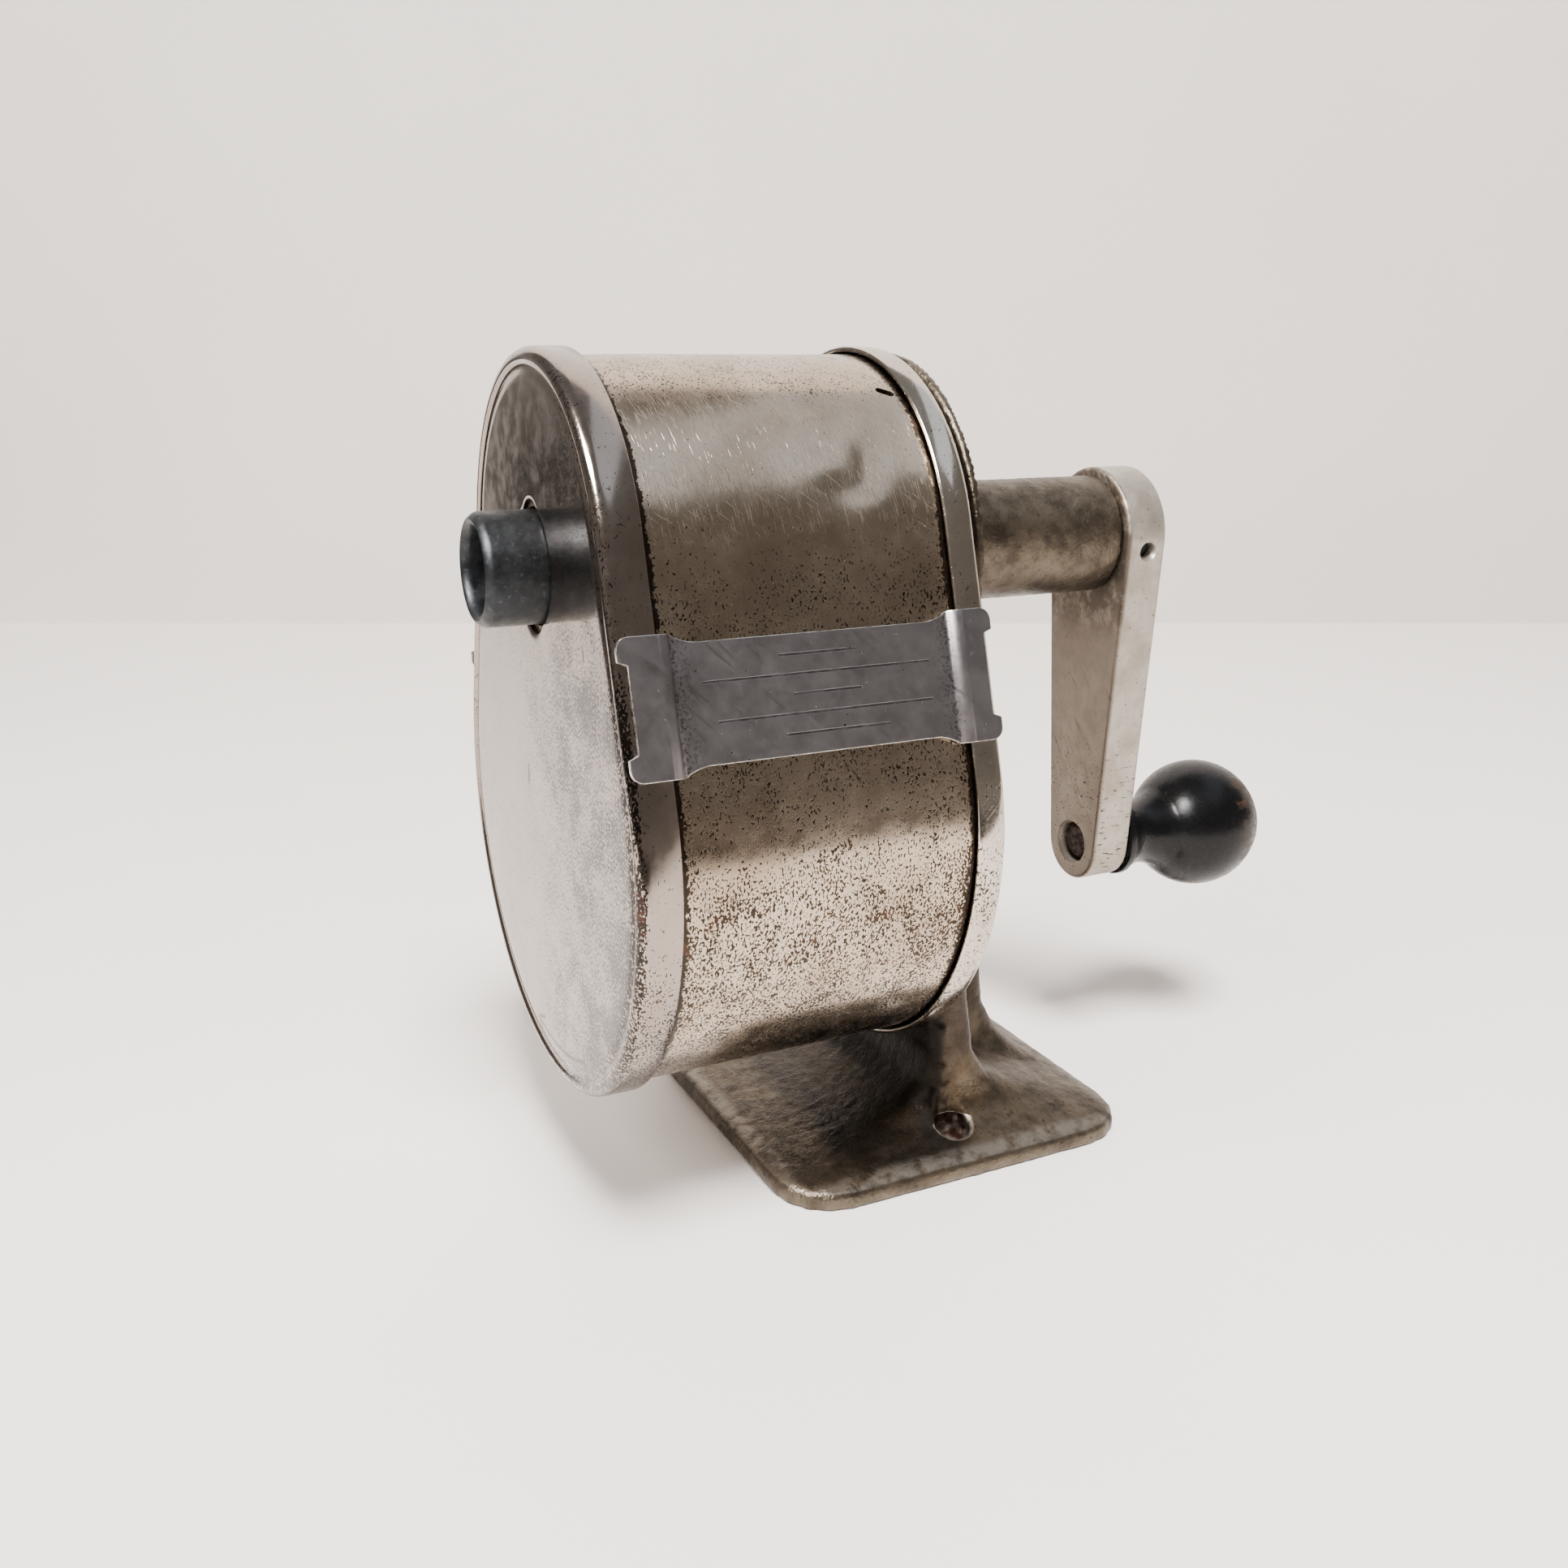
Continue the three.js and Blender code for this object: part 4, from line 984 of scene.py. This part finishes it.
def cast_point(x, y, z, normal):
    """A point of the smooth casting moved onto the true rounds, and then out by skin and flash."""
    radial = math.hypot(x, z - AXIS)
    on_tube = y > 4 and abs(radial - TUBE_RADIUS) < 0.5
    on_head = -2.1 < y < -1.3 and abs(radial - HEAD_RADIUS) < 0.6
    on_upright = 3.5 < z < 60 and radial > HEAD_RADIUS and abs(x) > 7
    on_foot_edge = z < 3 and abs(x) > 24
    in_bore_or_underside = z < 0.3 or (radial < 4 and z > 60)
    here = Vector((x, y, z))
    lift = noise.noise(here * 0.9) * 0.07 + noise.noise(here * 2.3) * 0.035
    if on_tube:
        keep = TUBE_RADIUS / radial
        x, z = x * keep, AXIS + (z - AXIS) * keep
        lift *= 0.8
    if on_head:
        keep = HEAD_RADIUS / radial
        x, z = x * keep, AXIS + (z - AXIS) * keep
    seam = math.exp(-(y / 0.35) ** 2)
    if on_upright:
        lift += 0.5 * seam * max(0.6 + 1.4 * noise.noise(Vector((x, 0, z)) * 0.8), 0)
    if on_foot_edge:
        lift += 0.16 * seam
    if in_bore_or_underside:
        lift = 0
    return x + normal[0] * lift, y + normal[1] * lift, max(z + normal[2] * lift, 0.0)


# ---------------- assembly
def build_case(plates):
    depth = CAP_HIGH.y - CAP_LOW.y
    front = cap("front_cap_sheet", CAP_LOW.y, depth, GUIDE_HOLE, GUIDE_NOTCH, -1)
    finish_piece(front, "receptacle", [plates["face"]], "front_cap")
    finish_piece(drum(), "receptacle", [plates["drum"]], "drum")
    rear = cap("rear_cap_sheet", REAR_HIGH.y, REAR_HIGH.y - REAR_LOW.y, REAR_HOLE, None, 1)
    finish_piece(rear, "receptacle", [plates["rear"]], "rear_cap")
    for side, node in ((1, "strap_right"), (-1, "strap_left")):
        finish_piece(strap(side, plates), "receptacle", [], node)
    finish_piece(pencil_guide(), "receptacle", [plates["blued"]], "pencil_guide")


def build_crank(plates):
    finish_piece(shaft(), "crank", [plates["bright"]], "crank_shaft")
    finish_piece(arm(), "crank", [plates["pale"]], "crank_arm")
    finish_piece(knob(), "knob", [plates["wood"]], "knob")


def nickel_plates():
    """The nickel of the front cap, the drum and the rear cap."""
    looks = {
        "face": (face_density, face_marks, 0.12, 0.3, (156, 145, 136), (147, 135, 126)),
        "drum": (drum_density, drum_marks, 0.2, 1.0, (186, 170, 151), (164, 147, 128)),
        "rear": (rear_density, rear_marks, 0.14, 1.0, (200, 190, 178), (184, 172, 158)),
    }
    return {place: nickel("nickel_" + place, *look) for place, look in looks.items()}


def build_looks():
    plates = {
        **nickel_plates(),
        "strap": strap_steel(),
        "edge": raw_edge(),
        "blued": blued_steel(),
        "pale": pale_metal(),
        "bright": machined("bright_steel", (176, 173, 168), (140, 135, 128), 0.22),
        "tool": machined("tool_steel", (120, 121, 126), (84, 84, 88), 0.24),
        "rusty": rusty_steel(),
        "wood": black_wood(),
        "cast": cast_nickel(),
    }
    build_case(plates)
    build_crank(plates)
    finish_piece(casting(), "frame", [plates["cast"]], "base_frame")
    kept = {
        "ring_gear": "bright",
        "spring_ring": "bright",
        "guide_washer": "pale",
        "thrust_washer": "bright",
        "set_screw": "blued",
        "cutter_carrier": "bright",
        "knob_rivet": "rusty",
        "cutter_a": "tool",
        "cutter_b": "tool",
        "pinion_a": "bright",
        "pinion_b": "bright",
        "cutter_pin_a": "bright",
        "cutter_pin_b": "bright",
    }
    for node, plate in kept.items():
        NODES[node].data.materials.clear()
        NODES[node].data.materials.append(plates[plate])


# ---------------- camera, stage and light
CAMERA_AZIMUTH = math.radians(64.32)
CAMERA_ELEVATION = math.radians(16.13)
CAMERA_DISTANCE = 186.5
CAMERA_LENS = 33.775
WALL_DISTANCE = 558.0
BOARD_LEFT = 345.0
BOARD_RIGHT = 900.0
BOARD_HEIGHT = 800.0
TABLE_DEPTH = 585.0
CAMERA_TARGET = (0, -10.6, 45.55)
CAMERA_ASIDE = 3.75

LIGHT_TARGET = (0, -15, 50)
LIGHT_DISTANCE = 900.0
# name, direction from the case, width, height, power, colour, and whether only metal and gloss show it
LIGHTS = [
    ("window", (0.24, -0.77, 0.6), 500, 400, 8, (1.0, 0.95, 0.89), False),
    ("window_glow", (0.2, -0.68, 0.7), 420, 300, 46, (1.0, 0.97, 0.95), True),
    ("overhead", (0.42, -0.10, 0.9), 300, 300, 31, (1.0, 0.975, 0.96), False),
    ("skylight", (0.2, 0.45, 0.87), 1200, 400, 1.25, (0.90, 1.0, 1.15), True),
]


def camera():
    """The camera looks at a point beside the case's middle and returns its axes in the row frame."""
    back = Vector((
        math.cos(CAMERA_ELEVATION) * math.sin(CAMERA_AZIMUTH),
        -math.cos(CAMERA_ELEVATION) * math.cos(CAMERA_AZIMUTH),
        math.sin(CAMERA_ELEVATION),
    ))
    right = Vector((0, 0, 1)).cross(back).normalized()
    up = back.cross(right)
    target = Vector(CAMERA_TARGET) - right * CAMERA_ASIDE
    lens = bpy.data.cameras.new("camera")
    lens.lens = CAMERA_LENS
    lens.sensor_width = 36
    lens.clip_start = 0.01
    made = bpy.data.objects.new("camera", lens)
    bpy.context.scene.collection.objects.link(made)
    turn = Matrix((right, up, back)).transposed().to_4x4()
    place = target + back * CAMERA_DISTANCE
    made.matrix_world = Matrix.Translation(place * MM) @ turn
    bpy.context.scene.camera = made
    return place, back, right


def stage_material(name, colour, rough):
    paint = Paint(name)
    cloud = paint.ramp(paint.noise(90, 3, 0.5), 0.3, 0.7)
    shade_colour = [c * 0.97 for c in colour]
    paint.bumps((paint.noise(1.5, 3, 0.5), 0.01))
    return paint.finish(paint.mix(cloud, colour, shade_colour), 0.0, rough)


def sheet(name, corners, material):
    made = mesh_object(name, corners, [(0, 1, 2, 3)])
    made.data.materials.append(material)
    return made


def stage(place, back, right):
    """A pale table top and a pale board standing behind it."""
    forward = Vector((-back.x, -back.y, 0)).normalized()
    foot = Vector((place.x, place.y, 0)) + forward * WALL_DISTANCE
    left_end, right_end = foot - right * BOARD_LEFT, foot + right * BOARD_RIGHT
    rise = Vector((0, 0, BOARD_HEIGHT))
    pale = stage_material("table", srgb(232, 226, 221), 0.5)
    wall = stage_material("board", srgb(207, 201, 196), 0.7)
    sheet("board", [left_end, right_end, right_end + rise, left_end + rise], wall)
    near = -forward * TABLE_DEPTH
    sheet("table", [left_end, right_end, right_end + near, left_end + near], pale)


def soft_light(name, direction, width, height, power, colour, mirrored):
    """An area light that shines at the case, and shows either in gloss or on matt things."""
    lamp = bpy.data.lights.new(name, "AREA")
    lamp.shape = "RECTANGLE"
    lamp.size = width * MM
    lamp.size_y = height * MM
    lamp.energy = power
    lamp.color = colour
    made = bpy.data.objects.new(name, lamp)
    made.visible_glossy = mirrored
    made.visible_diffuse = not mirrored
    bpy.context.scene.collection.objects.link(made)
    way = Vector(direction).normalized()
    place = Vector(LIGHT_TARGET) + way * LIGHT_DISTANCE
    turn = way.to_track_quat("Z", "Y").to_matrix().to_4x4()
    made.matrix_world = Matrix.Translation(place * MM) @ turn


def room():
    """A dim plain room: dark below, warm grey at eye level, and lighter overhead."""
    world = bpy.data.worlds.new("room")
    bpy.context.scene.world = world
    world.use_nodes = True
    tree = world.node_tree
    background = tree.nodes["Background"]
    place = tree.nodes.new("ShaderNodeTexCoord")
    split = tree.nodes.new("ShaderNodeSeparateXYZ")
    ramp = tree.nodes.new("ShaderNodeValToRGB")
    tree.links.new(place.outputs["Generated"], split.inputs[0])
    # the ramp runs from straight down at 0 to straight up at 1
    lift = tree.nodes.new("ShaderNodeMapRange")
    lift.inputs["From Min"].default_value = -1.0
    tree.links.new(split.outputs[2], lift.inputs[0])
    tree.links.new(lift.outputs[0], ramp.inputs[0])
    levels = [
        (0.0, (0.10, 0.09, 0.08)),
        (0.465, (0.10, 0.09, 0.08)),
        (0.50, (0.29, 0.268, 0.247)),
        (0.56, (0.28, 0.258, 0.236)),
        (0.61, (0.20, 0.183, 0.166)),
        (0.70, (0.205, 0.190, 0.175)),
        (0.80, (0.24, 0.23, 0.22)),
        (0.84, (0.32, 0.32, 0.33)),
        (0.92, (0.34, 0.34, 0.35)),
        (0.96, (0.30, 0.30, 0.30)),
        (1.0, (0.28, 0.28, 0.28)),
    ]
    stops = ramp.color_ramp.elements
    while len(stops) < len(levels):
        stops.new(0.5)
    for stop, (where, colour) in zip(stops, levels):
        stop.position = where
        stop.color = (*colour, 1)
    tree.links.new(ramp.outputs[0], background.inputs[0])
    background.inputs[1].default_value = 1.0


place, back, right = camera()
stage(place, back, right)
room()
for light in LIGHTS:
    soft_light(*light)
build_looks()
